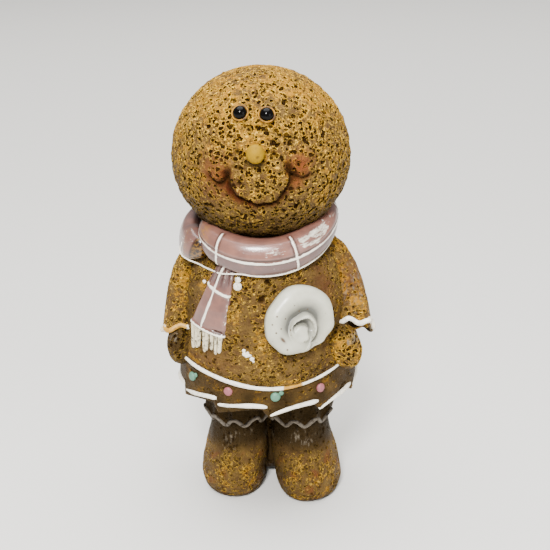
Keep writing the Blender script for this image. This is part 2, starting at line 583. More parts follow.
def dots_tree():
    """Sugar dots: a flattened, slightly uneven bead at each point, facing the way the facing mark says."""
    tree, given, out = new_tree("Sugar dots", (
        ("Radius", "NodeSocketFloat", 0.00145), ("Flatness", "NodeSocketFloat", 0.62),
        ("Unevenness", "NodeSocketFloat", 0.0003),
        ("Material", "NodeSocketMaterial", None)))
    bead = add(tree, "GeometryNodeMeshIcoSphere", {"Radius": given.outputs["Radius"], "Subdivisions": 4})
    shape = add(tree, "ShaderNodeCombineXYZ", {0: 1.0, 1: 1.0, 2: given.outputs["Flatness"]})
    flat = add(tree, "GeometryNodeTransform", {"Geometry": bead, "Scale": shape})
    facing = add(tree, "GeometryNodeInputNamedAttribute", {"Name": "facing"}, data_type="FLOAT_VECTOR")
    turn = add(tree, "FunctionNodeAlignRotationToVector", {"Vector": facing.outputs[0]}, axis="Z")
    scale = add(tree, "GeometryNodeInputNamedAttribute", {"Name": "size"}, data_type="FLOAT")
    placed = add(tree, "GeometryNodeInstanceOnPoints",
        {"Points": given.outputs["Geometry"], "Instance": flat, "Rotation": turn,
        "Scale": scale.outputs[0]})
    real = add(tree, "GeometryNodeRealizeInstances", {"Geometry": placed})
    uneven = add(tree, NOISE, {"Vector": add(tree, "GeometryNodeInputPosition"), "Scale": 560.0,
        "Detail": 2.0})
    level = add(tree, MATH, {0: uneven, 1: 0.6}, operation="SUBTRACT")
    much = add(tree, MATH, {0: level, 1: given.outputs["Unevenness"]}, operation="MULTIPLY")
    push = add(tree, VECTOR_MATH, {0: add(tree, "GeometryNodeInputNormal"), "Scale": much}, operation="SCALE")
    shaped = add(tree, "GeometryNodeSetPosition", {"Geometry": real, "Offset": push})
    end_tree(tree, shaped, out, given)
    return tree


def grow(obj, tree, **inputs):
    """Runs a geometry tree over an object, with its inputs by name, and leaves a plain mesh."""
    step = obj.modifiers.new("Grow", "NODES")
    step.node_group = tree
    sockets = {s.name: s.identifier for s in tree.interface.items_tree if s.item_type == "SOCKET"
        and s.in_out == "INPUT"}
    for label, value in inputs.items():
        step[sockets[label.capitalize()]] = value
    graph = bpy.context.evaluated_depsgraph_get()
    made = bpy.data.meshes.new_from_object(obj.evaluated_get(graph), preserve_all_data_layers=True,
        depsgraph=graph)
    obj.modifiers.clear()
    old, obj.data = obj.data, made
    bpy.data.meshes.remove(old)
    made.name = obj.name
    if len(made.polygons) == 0:
        raise RuntimeError(f"{obj.name} came out empty")
    return obj


def settle(obj, slot, *nodes):
    """The finished piece rides on the figure, and stands for the solids named."""
    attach(obj, "root")
    if nodes:
        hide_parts(*nodes)
    return obj


# Finishes.


def new_finish(name, roughness, specular=0.5, coat=0.0, coat_roughness=0.1, tint=(1.0, 1.0, 1.0)):
    """Starts a material, with the numbers that are the same all over it on the shader's own sockets."""
    material = bpy.data.materials.new(name)
    material.use_nodes = True
    tree = material.node_tree
    shader = tree.nodes["Principled BSDF"]
    shader.inputs["Roughness"].default_value = roughness
    shader.inputs["Specular IOR Level"].default_value = specular
    shader.inputs["Coat Weight"].default_value = coat
    shader.inputs["Coat Roughness"].default_value = coat_roughness
    shader.inputs["Specular Tint"].default_value = (*tint, 1.0)
    FINISHES[name] = material
    return tree, shader


def feed(tree, shader, colour_node, roughness_node=None, relief_node=None):
    """Links what varies over a finish to its shader."""
    for socket, node in (("Base Color", colour_node), ("Roughness", roughness_node), ("Normal", relief_node)):
        if node:
            tree.links.new(first_output(node), shader.inputs[socket])


def rgba(values):
    return (*values, 1.0)


def painted_dough(colours, pitch):
    """Cast resin painted as baked dough.

    Dark wash stays in the pits and gold is dry-brushed on the ridges, so the crust looks crisp and matt.
    """
    tree, shader = new_finish("painted_baked_dough", 0.62, specular=0.22, tint=(1.0, 0.72, 0.25))
    place = add(tree, "ShaderNodeAttribute", attribute_name="rest").outputs["Vector"]
    mark = {n: add(tree, "ShaderNodeAttribute", attribute_name=n).outputs["Fac"]
        for n in ("pits", "gold", "wash", "blush", "wine", "frost", "ink", "soft")}
    pit, lip = crust_field(tree, place, mark["pits"], pitch)
    # Pores between the large pits, about 0.7 mm apart, drawn as coarse as the render can show.
    some = add(tree, MATH, {0: mark["pits"], 1: 0.62}, operation="MULTIPLY")
    pore, rim = crust_field(tree, add(tree, VECTOR_MATH, {0: place, 1: (31.0, 17.0, 5.0)}, operation="ADD"),
        some, pitch * 0.52, 0.7)
    clouds = add(tree, NOISE, {"Vector": place, "Scale": 0.22, "Detail": 3.0, "Roughness": 0.6})
    # Brush marks of the gold, about 0.6 mm across.
    grain = add(tree, NOISE, {"Vector": place, "Scale": 1.15, "Detail": 4.0, "Roughness": 0.68,
        "Distortion": 0.4})
    tone = add(tree, MAP_RANGE, {"Value": clouds, "From Min": 0.38, "From Max": 0.66})
    base = add(tree, MIX, {"Factor": tone, "A": rgba(colours.dough_brown), "B": rgba(colours.dough_tan)},
        data_type="RGBA")
    start = add(tree, MAP_RANGE, {"Value": mark["gold"], "To Min": 0.80, "To Max": 0.36})
    stop = add(tree, MATH, {0: start, 1: 0.10}, operation="ADD")
    broad = add(tree, NOISE, {"Vector": place, "Scale": 0.5, "Detail": 2.0, "Roughness": 0.5})
    both = add(tree, MIX, {"Factor": 0.42, "A": grain, "B": broad})
    lips = add(tree, MATH, {0: lip, 1: add(tree, MATH, {0: rim, 1: 0.5}, operation="MULTIPLY")},
        operation="MAXIMUM")
    upward = add(tree, MATH, {0: lips, 1: 0.10, 2: both}, operation="MULTIPLY_ADD")
    brushed = add(tree, MAP_RANGE, {"Value": upward, "From Min": start, "From Max": stop},
        interpolation_type="SMOOTHSTEP")
    golden = add(tree, MIX, {"Factor": brushed, "A": base, "B": rgba(colours.dough_gold)}, data_type="RGBA")
    held = add(tree, MAP_RANGE, {"Value": mark["gold"], "To Min": 0.15, "To Max": 0.85})
    broken = add(tree, MAP_RANGE, {"Value": grain, "From Min": 0.38, "From Max": 0.56, "To Min": 0.15})
    lit = add(tree, MATH, {0: add(tree, MATH, {0: lips, 1: held}, operation="MULTIPLY"), 1: broken},
        operation="MULTIPLY")
    pale = add(tree, MIX, {"Factor": lit, "A": golden, "B": rgba(colours.dough_pale)}, data_type="RGBA")
    soft = add(tree, MAP_RANGE, {"Value": grain, "From Min": 0.25, "From Max": 0.6, "To Min": 0.65,
        "To Max": 1.0})
    flush = add(tree, MATH, {0: mark["blush"], 1: soft}, operation="MULTIPLY")
    rosy = add(tree, MIX, {"Factor": flush, "A": pale, "B": rgba(colours.blush)}, data_type="RGBA")
    lipped = add(tree, MIX, {"Factor": mark["wine"], "A": rosy, "B": rgba(colours.lip_wine)},
        data_type="RGBA")
    washed = add(tree, MIX, {"Factor": mark["wash"], "A": lipped, "B": rgba(colours.wash_brown)},
        data_type="RGBA")
    # Upright strokes of a nearly dry brush, 0.5 mm wide and a few millimetres long.
    long = add(tree, VECTOR_MATH, {0: place, 1: (1.1, 1.1, 0.16)}, operation="MULTIPLY")
    strokes = add(tree, NOISE, {"Vector": long, "Scale": 1.0, "Detail": 3.0, "Roughness": 0.7})
    faint = add(tree, MAP_RANGE, {"Value": mark["frost"], "To Min": 0.78, "To Max": 0.26})
    full = add(tree, MATH, {0: faint, 1: 0.26}, operation="ADD")
    dusted = add(tree, MAP_RANGE, {"Value": strokes, "From Min": faint, "From Max": full},
        interpolation_type="SMOOTHSTEP")
    frosted = add(tree, MIX, {"Factor": dusted, "A": washed, "B": rgba(colours.frost)}, data_type="RGBA")
    holes = add(tree, MATH, {0: pore, 1: 0.55}, operation="MULTIPLY")
    firm = add(tree, MATH, {0: mark["soft"], 1: -0.65, 2: 1.0}, operation="MULTIPLY_ADD")
    hollow = add(tree, MATH, {0: add(tree, MATH, {0: pit, 1: holes}, operation="MAXIMUM"), 1: firm},
        operation="MULTIPLY")
    dark = add(tree, MATH, {0: hollow, 1: mark["ink"]}, operation="MAXIMUM")
    final = add(tree, MIX, {"Factor": dark, "A": frosted, "B": rgba(colours.pit_brown)}, data_type="RGBA")
    dull = add(tree, MAP_RANGE, {"Value": grain, "From Min": 0.3, "From Max": 0.7, "To Min": 0.72,
        "To Max": 0.5})
    deep = add(tree, MATH, {0: dark, 1: -1.0, 2: grain}, operation="MULTIPLY_ADD")
    raised = add(tree, MATH, {0: lips, 1: 0.35, 2: deep}, operation="MULTIPLY_ADD")
    relief = add(tree, "ShaderNodeBump", {"Height": raised, "Strength": 1.0, "Distance": 0.00075})
    feed(tree, shader, final, dull, relief)


def small_paint(name, main, worn, roughness, spot, cover=0.35, relief=0.00012, **shine):
    """Brushed acrylic paint, slightly uneven: worn spots of that size in millimetres show a second colour."""
    tree, shader = new_finish(name, roughness, **shine)
    place = add(tree, "ShaderNodeTexCoord").outputs["Object"]
    patches = add(tree, NOISE, {"Vector": place, "Scale": 1000.0 / spot, "Detail": 4.0, "Roughness": 0.62})
    start = 0.72 - cover * 0.5
    wear = add(tree, MAP_RANGE, {"Value": patches, "From Min": start, "From Max": start + 0.2},
        interpolation_type="SMOOTHSTEP")
    mix = add(tree, MIX, {"Factor": wear, "A": rgba(main), "B": rgba(worn)}, data_type="RGBA")
    ink = add(tree, "ShaderNodeAttribute", attribute_name="ink").outputs["Fac"]
    spotted = add(tree, MIX, {"Factor": ink, "A": mix.outputs[2], "B": rgba(worn)}, data_type="RGBA")
    gloss = add(tree, MAP_RANGE, {"Value": patches, "To Min": max(0.03, roughness - 0.06),
        "To Max": roughness + 0.12})
    lift = add(tree, "ShaderNodeBump", {"Height": patches, "Strength": 0.5, "Distance": relief})
    feed(tree, shader, spotted, gloss, lift)


def varnished_scarf(colours):
    """Dusky pink paint under satin varnish: long soft highlights, white raised stripes, brown folds."""
    tree, shader = new_finish("varnished_pink_scarf", 0.34, coat=0.6, coat_roughness=0.16)
    place = add(tree, "ShaderNodeAttribute", attribute_name="rest").outputs["Vector"]
    mark = {n: add(tree, "ShaderNodeAttribute", attribute_name=n).outputs["Fac"]
        for n in ("stripe", "brush", "stain", "fold", "lilac", "dough", "run", "over")}
    clouds = add(tree, NOISE, {"Vector": place, "Scale": 0.3, "Detail": 3.0, "Roughness": 0.55})
    cloudy = add(tree, MAP_RANGE, {"Value": clouds, "From Min": 0.38, "From Max": 0.7, "To Max": 0.6})
    deeper = add(tree, MATH, {0: cloudy, 1: mark["lilac"]}, operation="ADD", use_clamp=True)
    pink = add(tree, MIX, {"Factor": deeper, "A": rgba(colours.scarf_pink), "B": rgba(colours.scarf_lilac)},
        data_type="RGBA")
    # Brush streaks along the cloth, 0.6 mm apart and about 2 mm long. The run mark counts 100 mm along the
    # cloth as one, and the over mark 10 mm across it.
    along = add(tree, MATH, {0: mark["run"], 1: 50.0}, operation="MULTIPLY")
    across = add(tree, MATH, {0: mark["over"], 1: 17.0}, operation="MULTIPLY")
    streaks = add(tree, NOISE, {"Vector": add(tree, "ShaderNodeCombineXYZ", {0: along, 1: across}),
        "Scale": 1.0, "Detail": 4.0, "Roughness": 0.68, "Distortion": 0.5})
    faint = add(tree, MAP_RANGE, {"Value": mark["brush"], "To Min": 0.80, "To Max": 0.22})
    full = add(tree, MATH, {0: faint, 1: 0.12}, operation="ADD")
    brushed = add(tree, MAP_RANGE, {"Value": streaks, "From Min": faint, "From Max": full},
        interpolation_type="SMOOTHSTEP")
    thin = add(tree, MATH, {0: brushed, 1: 0.84}, operation="MULTIPLY")
    greyed = add(tree, MAP_RANGE, {"Value": streaks, "From Min": 0.66, "From Max": 0.36, "To Max": 0.9})
    chalk = add(tree, MIX, {"Factor": greyed, "A": rgba(colours.icing), "B": rgba(colours.icing_shade)},
        data_type="RGBA")
    whitened = add(tree, MIX, {"Factor": thin, "A": pink, "B": chalk.outputs[2]}, data_type="RGBA")
    patchy = add(tree, MAP_RANGE, {"Value": streaks, "From Min": 0.42, "From Max": 0.6, "To Min": 0.0,
        "To Max": 0.85})
    gold = add(tree, MATH, {0: mark["stain"], 1: patchy}, operation="MULTIPLY")
    stained = add(tree, MIX, {"Factor": gold, "A": whitened, "B": rgba(colours.dough_gold)}, data_type="RGBA")
    mottled = add(tree, MAP_RANGE, {"Value": streaks, "From Min": 0.42, "From Max": 0.66, "To Min": 0.05,
        "To Max": 0.6})
    tan = add(tree, MIX, {"Factor": mottled, "A": rgba(colours.wash_brown), "B": rgba(colours.dough_gold)},
        data_type="RGBA")
    pit, _ = crust_field(tree, place, mark["dough"], 1.0)
    crusty = add(tree, MIX, {"Factor": pit, "A": tan, "B": rgba(colours.pit_brown)}, data_type="RGBA")
    bare = add(tree, MIX, {"Factor": mark["dough"], "A": stained, "B": crusty.outputs[2]}, data_type="RGBA")
    creased = add(tree, MIX, {"Factor": mark["fold"], "A": bare, "B": rgba(colours.pit_brown)},
        data_type="RGBA")
    worn = add(tree, MATH, {0: streaks, 1: -0.9, 2: mark["stripe"]}, operation="MULTIPLY_ADD")
    edge = add(tree, MAP_RANGE, {"Value": worn, "From Min": -0.08, "From Max": 0.12},
        interpolation_type="SMOOTHSTEP")
    striped = add(tree, MIX, {"Factor": edge, "A": creased, "B": rgba(colours.icing)}, data_type="RGBA")
    dull = add(tree, MATH, {0: brushed, 1: 0.2, 2: 0.3}, operation="MULTIPLY_ADD")
    height = add(tree, MATH, {0: brushed, 1: 0.5, 2: streaks}, operation="MULTIPLY_ADD")
    relief = add(tree, "ShaderNodeBump", {"Height": height, "Strength": 0.35, "Distance": 0.00018})
    feed(tree, shader, striped, dull, relief)


def glazed_sweet(colours):
    """Ivory enamel, grey wash in the swirl and a few brown specks: soft satin highlights on the crests."""
    tree, shader = new_finish("ivory_enamel_sweet", 0.42, coat=0.45, coat_roughness=0.24)
    place = add(tree, "ShaderNodeAttribute", attribute_name="rest").outputs["Vector"]
    mark = {n: add(tree, "ShaderNodeAttribute", attribute_name=n).outputs["Fac"]
        for n in ("hollow", "speckle", "scratch")}
    clouds = add(tree, NOISE, {"Vector": place, "Scale": 0.35, "Detail": 4.0, "Roughness": 0.6})
    cloudy = add(tree, MAP_RANGE, {"Value": clouds, "From Min": 0.35, "From Max": 0.7, "To Min": 0.0,
        "To Max": 0.16})
    depth = add(tree, MATH, {0: mark["hollow"], 1: cloudy}, operation="ADD", use_clamp=True)
    body = add(tree, MIX, {"Factor": depth, "A": rgba(colours.sweet), "B": rgba(colours.sweet_grey)},
        data_type="RGBA")
    # Brown paint specks, 0.2 to 0.4 mm across.
    specks = add(tree, CELLS, {"Vector": place, "Scale": 0.8, "Randomness": 1.0})
    kind = add(tree, "ShaderNodeSeparateXYZ", {0: specks.outputs["Color"]})
    reach = add(tree, MATH, {0: mark["speckle"], 1: kind.outputs[0]}, operation="GREATER_THAN")
    near = add(tree, MAP_RANGE, {"Value": specks.outputs["Distance"], "From Min": 0.28, "From Max": 0.14},
        interpolation_type="SMOOTHSTEP")
    spot = add(tree, MATH, {0: near, 1: reach}, operation="MULTIPLY")
    brown = add(tree, MATH, {0: spot, 1: mark["scratch"]}, operation="MAXIMUM")
    dotted = add(tree, MIX, {"Factor": brown, "A": body, "B": rgba(colours.dough_brown)}, data_type="RGBA")
    satin = add(tree, MAP_RANGE, {"Value": clouds, "To Min": 0.36, "To Max": 0.5})
    relief = add(tree, "ShaderNodeBump", {"Height": clouds, "Strength": 0.25, "Distance": 0.0002})
    feed(tree, shader, dotted, satin, relief)


def piped_icing(colours):
    """Raised white paint, as piped icing: a soft satin bead that thins to grey and, where bare, to gold."""
    tree, shader = new_finish("piped_white_icing", 0.42)
    place = add(tree, "ShaderNodeTexCoord").outputs["Object"]
    bare = add(tree, "ShaderNodeAttribute", attribute_name="bare").outputs["Fac"]
    patches = add(tree, NOISE, {"Vector": place, "Scale": 650.0, "Detail": 4.0, "Roughness": 0.65})
    wear = add(tree, MAP_RANGE, {"Value": patches, "From Min": 0.52, "From Max": 0.74, "To Max": 0.7},
        interpolation_type="SMOOTHSTEP")
    white = add(tree, MIX, {"Factor": wear, "A": rgba(colours.icing), "B": rgba(colours.icing_shade)},
        data_type="RGBA")
    gone = add(tree, MATH, {0: add(tree, MATH, {0: bare, 1: patches}, operation="ADD"), 1: 0.5},
        operation="SUBTRACT")
    lost = add(tree, MAP_RANGE, {"Value": gone, "From Min": 0.42, "From Max": 0.58},
        interpolation_type="SMOOTHSTEP")
    some_gold = add(tree, MAP_RANGE, {"Value": patches, "From Min": 0.35, "From Max": 0.75, "To Max": 0.5})
    under = add(tree, MIX, {"Factor": some_gold, "A": rgba(colours.dough_gold),
        "B": rgba(colours.dough_pale)}, data_type="RGBA")
    final = add(tree, MIX, {"Factor": lost, "A": white, "B": under}, data_type="RGBA")
    satin = add(tree, MAP_RANGE, {"Value": patches, "To Min": 0.34, "To Max": 0.56})
    relief = add(tree, "ShaderNodeBump", {"Height": patches, "Strength": 0.4, "Distance": 0.00015})
    feed(tree, shader, final, satin, relief)


def studio_floor(colours):
    """Matt painted board: a pale, nearly even floor with a very faint mottle."""
    tree, shader = new_finish("pale_floor_board", 0.85, specular=0.15)
    place = add(tree, "ShaderNodeTexCoord").outputs["Object"]
    mottle = add(tree, NOISE, {"Vector": place, "Scale": 18.0, "Detail": 2.0})
    shade = add(tree, MAP_RANGE, {"Value": mottle, "To Min": 0.0, "To Max": 0.06})
    mix = add(tree, MIX, {"Factor": shade, "A": rgba(colours.ground), "B": (0.6, 0.6, 0.6, 1.0)},
        data_type="RGBA")
    feed(tree, shader, mix)


def prepare():
    """Trees and finishes, made once."""
    sizes, colours = bpy.context.scene.figurine_sizes, bpy.context.scene.figurine_colours
    pitch = sizes.crust_pitch / MM
    TREES.update(crust=crust_tree(pitch), strand=strand_tree(), dots=dots_tree())
    painted_dough(colours, pitch)
    varnished_scarf(colours)
    glazed_sweet(colours)
    piped_icing(colours)
    studio_floor(colours)
    # Ochre acrylic on a moulded ball: soft and even, with a faint brown mottle.
    small_paint("golden_nose_paint", colours.nose_gold, colours.dough_brown, 0.5, 2.2, 0.35, specular=0.2,
        tint=(1.0, 0.75, 0.2))
    # The dough's gold on the thin ridge round a bead, half rubbed off to brown.
    small_paint("tan_eye_rim_paint", colours.dough_gold, colours.dough_brown, 0.5, 1.5, 0.6, specular=0.2)
    # Moulded glass bead: near black, so that only the lights show in it.
    small_paint("black_glass_bead", colours.bead, linear("#0A0706"), 0.05, 1.2, 0.1, 0.00001, specular=0.1)
    # Thick acrylic dabs: chalky mint and rose, a little darker where thin.
    small_paint("mint_sugar_paint", colours.mint, linear("#2F5644"), 0.5, 1.0, 0.3)
    small_paint("rose_sugar_paint", colours.rose, linear("#6A3439"), 0.5, 1.0, 0.3)
    # White paint beads, greyed where handling has worn them.
    small_paint("white_button_paint", colours.icing, colours.icing_shade, 0.45, 0.9, 0.45)
    # Off-white paint on raised strands, worn in spots down to the dark wash.
    small_paint("worn_fringe_paint", colours.fringe, colours.wash_brown, 0.6, 1.1, 0.45, specular=0.3)
    # Grey-white dry brush on the ruffles' edges, broken up by the wash under it.
    small_paint("grey_ruffle_edge_paint", linear("#655C50"), colours.wash_brown, 0.6, 1.4, 0.5, specular=0.3)


def crusted(obj, sizes, depth=1.0, grain=1.0):
    """Gives an object its baked crust, with deeper pits or a coarser grain where asked."""
    return grow(obj, TREES["crust"], depth=sizes.crust_depth * depth, grain=0.00016 * grain,
        material=FINISHES["painted_baked_dough"])


def piped(obj, finish, step=0.4, lumps=0.25, sides=12, seed=0.0):
    """Gives paths their thickness as a piped strand, with a section every step millimetres."""
    return grow(obj, TREES["strand"], step=step * MM, lumps=lumps, seed=seed, sides=sides,
        material=FINISHES[finish])


# Head.


def cube_sphere(cuts):
    """Unit directions and faces of a cube blown up to a ball, evenly spread."""
    bm = bmesh.new()
    bmesh.ops.create_cube(bm, size=2.0)
    bmesh.ops.subdivide_edges(bm, edges=bm.edges, cuts=cuts - 1, use_grid_fill=True)
    points = np.tan(np.array([v.co for v in bm.verts]) * math.pi / 4)
    faces = np.array([[v.index for v in f.verts] for f in bm.faces])
    bm.free()
    return points / np.linalg.norm(points, axis=1)[:, None], faces


def face_marks(points, azimuth, sizes):
    """Cuts the smile, creases and large pits into the head's points, and says where each paint goes."""
    push = np.zeros(len(points))
    ink, wine = np.zeros(len(points)), np.zeros(len(points))
    front = np.abs(azimuth) < 75
    middle = on_head(-2.0, -1.0)
    depth = sizes.smile_depth / MM
    for line, size, is_smile in ((SMILE, 1.0, True), (CREASE_LEFT, 0.9, False), (CREASE_RIGHT, 0.78, False)):
        path = smooth_path([on_head(*p) for p in line], 130)
        far, which = nearest(points[front], path)
        heart = middle if is_smile else on_head(*CHEEKS[0 if line is CREASE_LEFT else 1][:2])
        outside = np.linalg.norm(points[front] - heart, axis=1) > np.linalg.norm(path[which] - heart, axis=1)
        share = which / (len(path) - 1)
        ends = (0.7 + 0.3 * np.sin(np.pi * share)) * size
        ragged = 1 + 0.4 * wander(points[front], 1.6)
        steep = np.where(outside, 1.0, 0.42) * ragged
        cut = depth * ends * bump(far / steep)
        lip = 0.34 * ends * bump((far - 0.95) / 0.5) * ~outside
        slope = 0.35 * ends * bump(far / 1.9) * outside
        push[front] += lip - cut - slope
        ink[front] = np.maximum(ink[front], 1.0 * bump(far / (0.82 * ragged)) * np.minimum(1, ends + 0.3))
        if is_smile:
            strength = 0.62 + 0.38 * bump((share - 0.30) / 0.32)
            breadth = 1.15 + 0.9 * bump((share - 0.27) / 0.22)
            stained = strength * bump(far / breadth) * np.where(outside, 1.0, 0.2)
            wine[front] = np.maximum(wine[front], stained)
        else:
            wine[front] = np.maximum(wine[front], 0.65 * bump(far / 1.1))
    for az, lat, radius in FACE_PITS:
        away = np.linalg.norm(points - on_head(az, lat), axis=1)
        away = away / (radius * (1 + 0.35 * wander(points, 1.3, 2.0)))
        push -= 0.75 * bump(away / 0.85)
        ink = np.maximum(ink, 1.0 - ramp(away, 0.55, 1.0))
    for az, lat in EYE_PLACES.values():
        away = np.linalg.norm(points - on_head(az, lat), axis=1)
        push -= 0.55 * (1 - ramp(away, 1.5, 2.1))
        below = ramp(on_head(az, lat)[2] - points[:, 2], -0.4, 1.4)
        ink = np.maximum(ink, 0.55 * bump((away - 2.3) / 0.45) * below)
    return push, ink, wine


class FIGURINE_OT_head(bpy.types.Operator):
    """Build the ball head with its baked crust, smile, cheeks, nose and eye rims"""

    bl_idname = "figurine.head"
    bl_label = "Head"

    def execute(self, context):
        sizes = context.scene.figurine_sizes
        ways, faces = cube_sphere(HEAD_CUTS)
        azimuth = np.degrees(np.arctan2(ways[:, 0], -ways[:, 1]))
        latitude = np.degrees(np.arcsin(np.clip(ways[:, 2], -1, 1)))
        ball = ways * HEAD_RADIUS
        grains = [Vector(p) / CRAG_GRAIN for p in ball]
        crag = np.array([noise.noise(p) + 0.6 * noise.noise(p * 2.1) for p in grains])
        crag = CRAG_DEPTH * np.clip(crag, -1, 1)
        # The crown only gets hollows, so the figure's height stays as it is.
        crag = np.where(latitude > CROWN, np.minimum(crag, 0.0), crag)
        points = ball + ways * crag[:, None]
        points = points * (1, 1, HEAD_SQUASH) + (0, 0, HEAD_HEIGHT)
        out = (points - (0, 0, HEAD_HEIGHT)) / np.linalg.norm(points - (0, 0, HEAD_HEIGHT), axis=1)[:, None]
        blush = np.zeros(len(points))
        for az, lat, size in CHEEKS:
            away = np.linalg.norm(points - on_head(az, lat), axis=1)
            points = points + out * (0.85 * bump(away / size))[:, None]
        for az, lat, size, much in BLUSH_SPOTS:
            away = np.linalg.norm(points - on_head(az, lat), axis=1)
            blush = np.maximum(blush, much * bump(away / size))
        push, ink, wine = face_marks(points, azimuth, sizes)
        nose = on_head(*NOSE_PLACE)
        near_nose = np.linalg.norm(points - nose, axis=1)
        under_nose = bump((near_nose - 3.0) / 0.7) * ramp(nose[2] - points[:, 2], 0.2, 2.2)
        points = points + out * push[:, None]
        low = ramp(-latitude, 8, 48)
        pits = 0.92 - 0.22 * ramp(latitude, 25, 60) + 0.06 * low + 0.16 * wander(points, 9.0, 1.0)
        pits *= (1 - bump(near_nose / 2.6)) * (1 - 0.55 * blush) * (1 - 0.85 * np.clip(1.4 * wine, 0, 1))
        gold = 0.66 + 0.16 * ramp(latitude, 10, 45) - 0.34 * low + 0.18 * wander(points, 11.0, 4.0)
        wash = (
            0.70 * low + 0.12 * ramp(np.abs(azimuth), 28, 70) * ramp(-latitude, -40, 10)
            + 0.10 * ramp(-azimuth, 24, 45) * ramp(-latitude, -30, 0)
        )
        wash = np.maximum(wash, 0.85 * under_nose)
        marks = {"pits": pits, "rough": np.ones(len(points)), "gold": gold, "wash": wash, "blush": blush,
            "wine": wine, "ink": ink}
        head = to_object("head_crust", points, [faces], marks)
        settle(crusted(head, sizes, 1.3, 2.6), "head", "head")

        turn = turned_to(on_head(*NOSE_PLACE) - (0, 0, HEAD_HEIGHT), (0, 0, 0)).to_3x3()
        rows = egg(on_head(*NOSE_PLACE, HEAD_RADIUS + 0.9), (NOSE_RADII[0], NOSE_RADII[2], NOSE_RADII[1]),
            turn, 48, 72)
        centre = Vector(on_head(*NOSE_PLACE, HEAD_RADIUS + 0.9))
        dent = np.array(centre + turn @ Vector((0.85, -1.1, 2.0)))
        away = np.linalg.norm(rows - dent, axis=2)
        inward = (rows - np.array(centre)) / np.linalg.norm(rows - np.array(centre), axis=2)[..., None]
        rows = rows - inward * (0.35 * bump(away / 0.45) + 0.10 * (1 + wander(rows, 2.2)))[..., None]
        marks = {"ink": 0.85 * bump(away / 0.42)}
        settle(shell_object("nose_ball", rows, marks, FINISHES["golden_nose_paint"]), "head")

        paths = []
        for az, lat in EYE_PLACES.values():
            place = on_head(az, lat, HEAD_RADIUS + 0.12)
            rim = turned_to(place - (0, 0, HEAD_HEIGHT), place)
            a = circle(40)
            r = sizes.eye_radius / MM + 0.22
            paths.append(moved(rim, np.stack((r * np.cos(a), r * np.sin(a), 0 * a), -1)))
        rims = lines_object("eye_rims", paths, [sizes.eye_rim / MM] * 2, closed=True)
        settle(piped(rims, "tan_eye_rim_paint", 0.25, 0.3), "head")
        return {"FINISHED"}


class FIGURINE_OT_eyes(bpy.types.Operator):
    """Build the two glossy bead eyes"""

    bl_idname = "figurine.eyes"
    bl_label = "Eyes"

    def execute(self, context):
        radius = context.scene.figurine_sizes.eye_radius / MM
        for name, (az, lat) in EYE_PLACES.items():
            centre = on_head(az, lat, HEAD_RADIUS + 0.2)
            turn = turned_to(centre - (0, 0, HEAD_HEIGHT), (0, 0, 0)).to_3x3()
            rows = egg(centre, (radius * 0.995, radius * 0.995, radius * 0.895), turn, 40, 56)
            settle(shell_object(name + "_bead", rows, None, FINISHES["black_glass_bead"]), name, name)
        return {"FINISHED"}


# Dress, arms and legs.


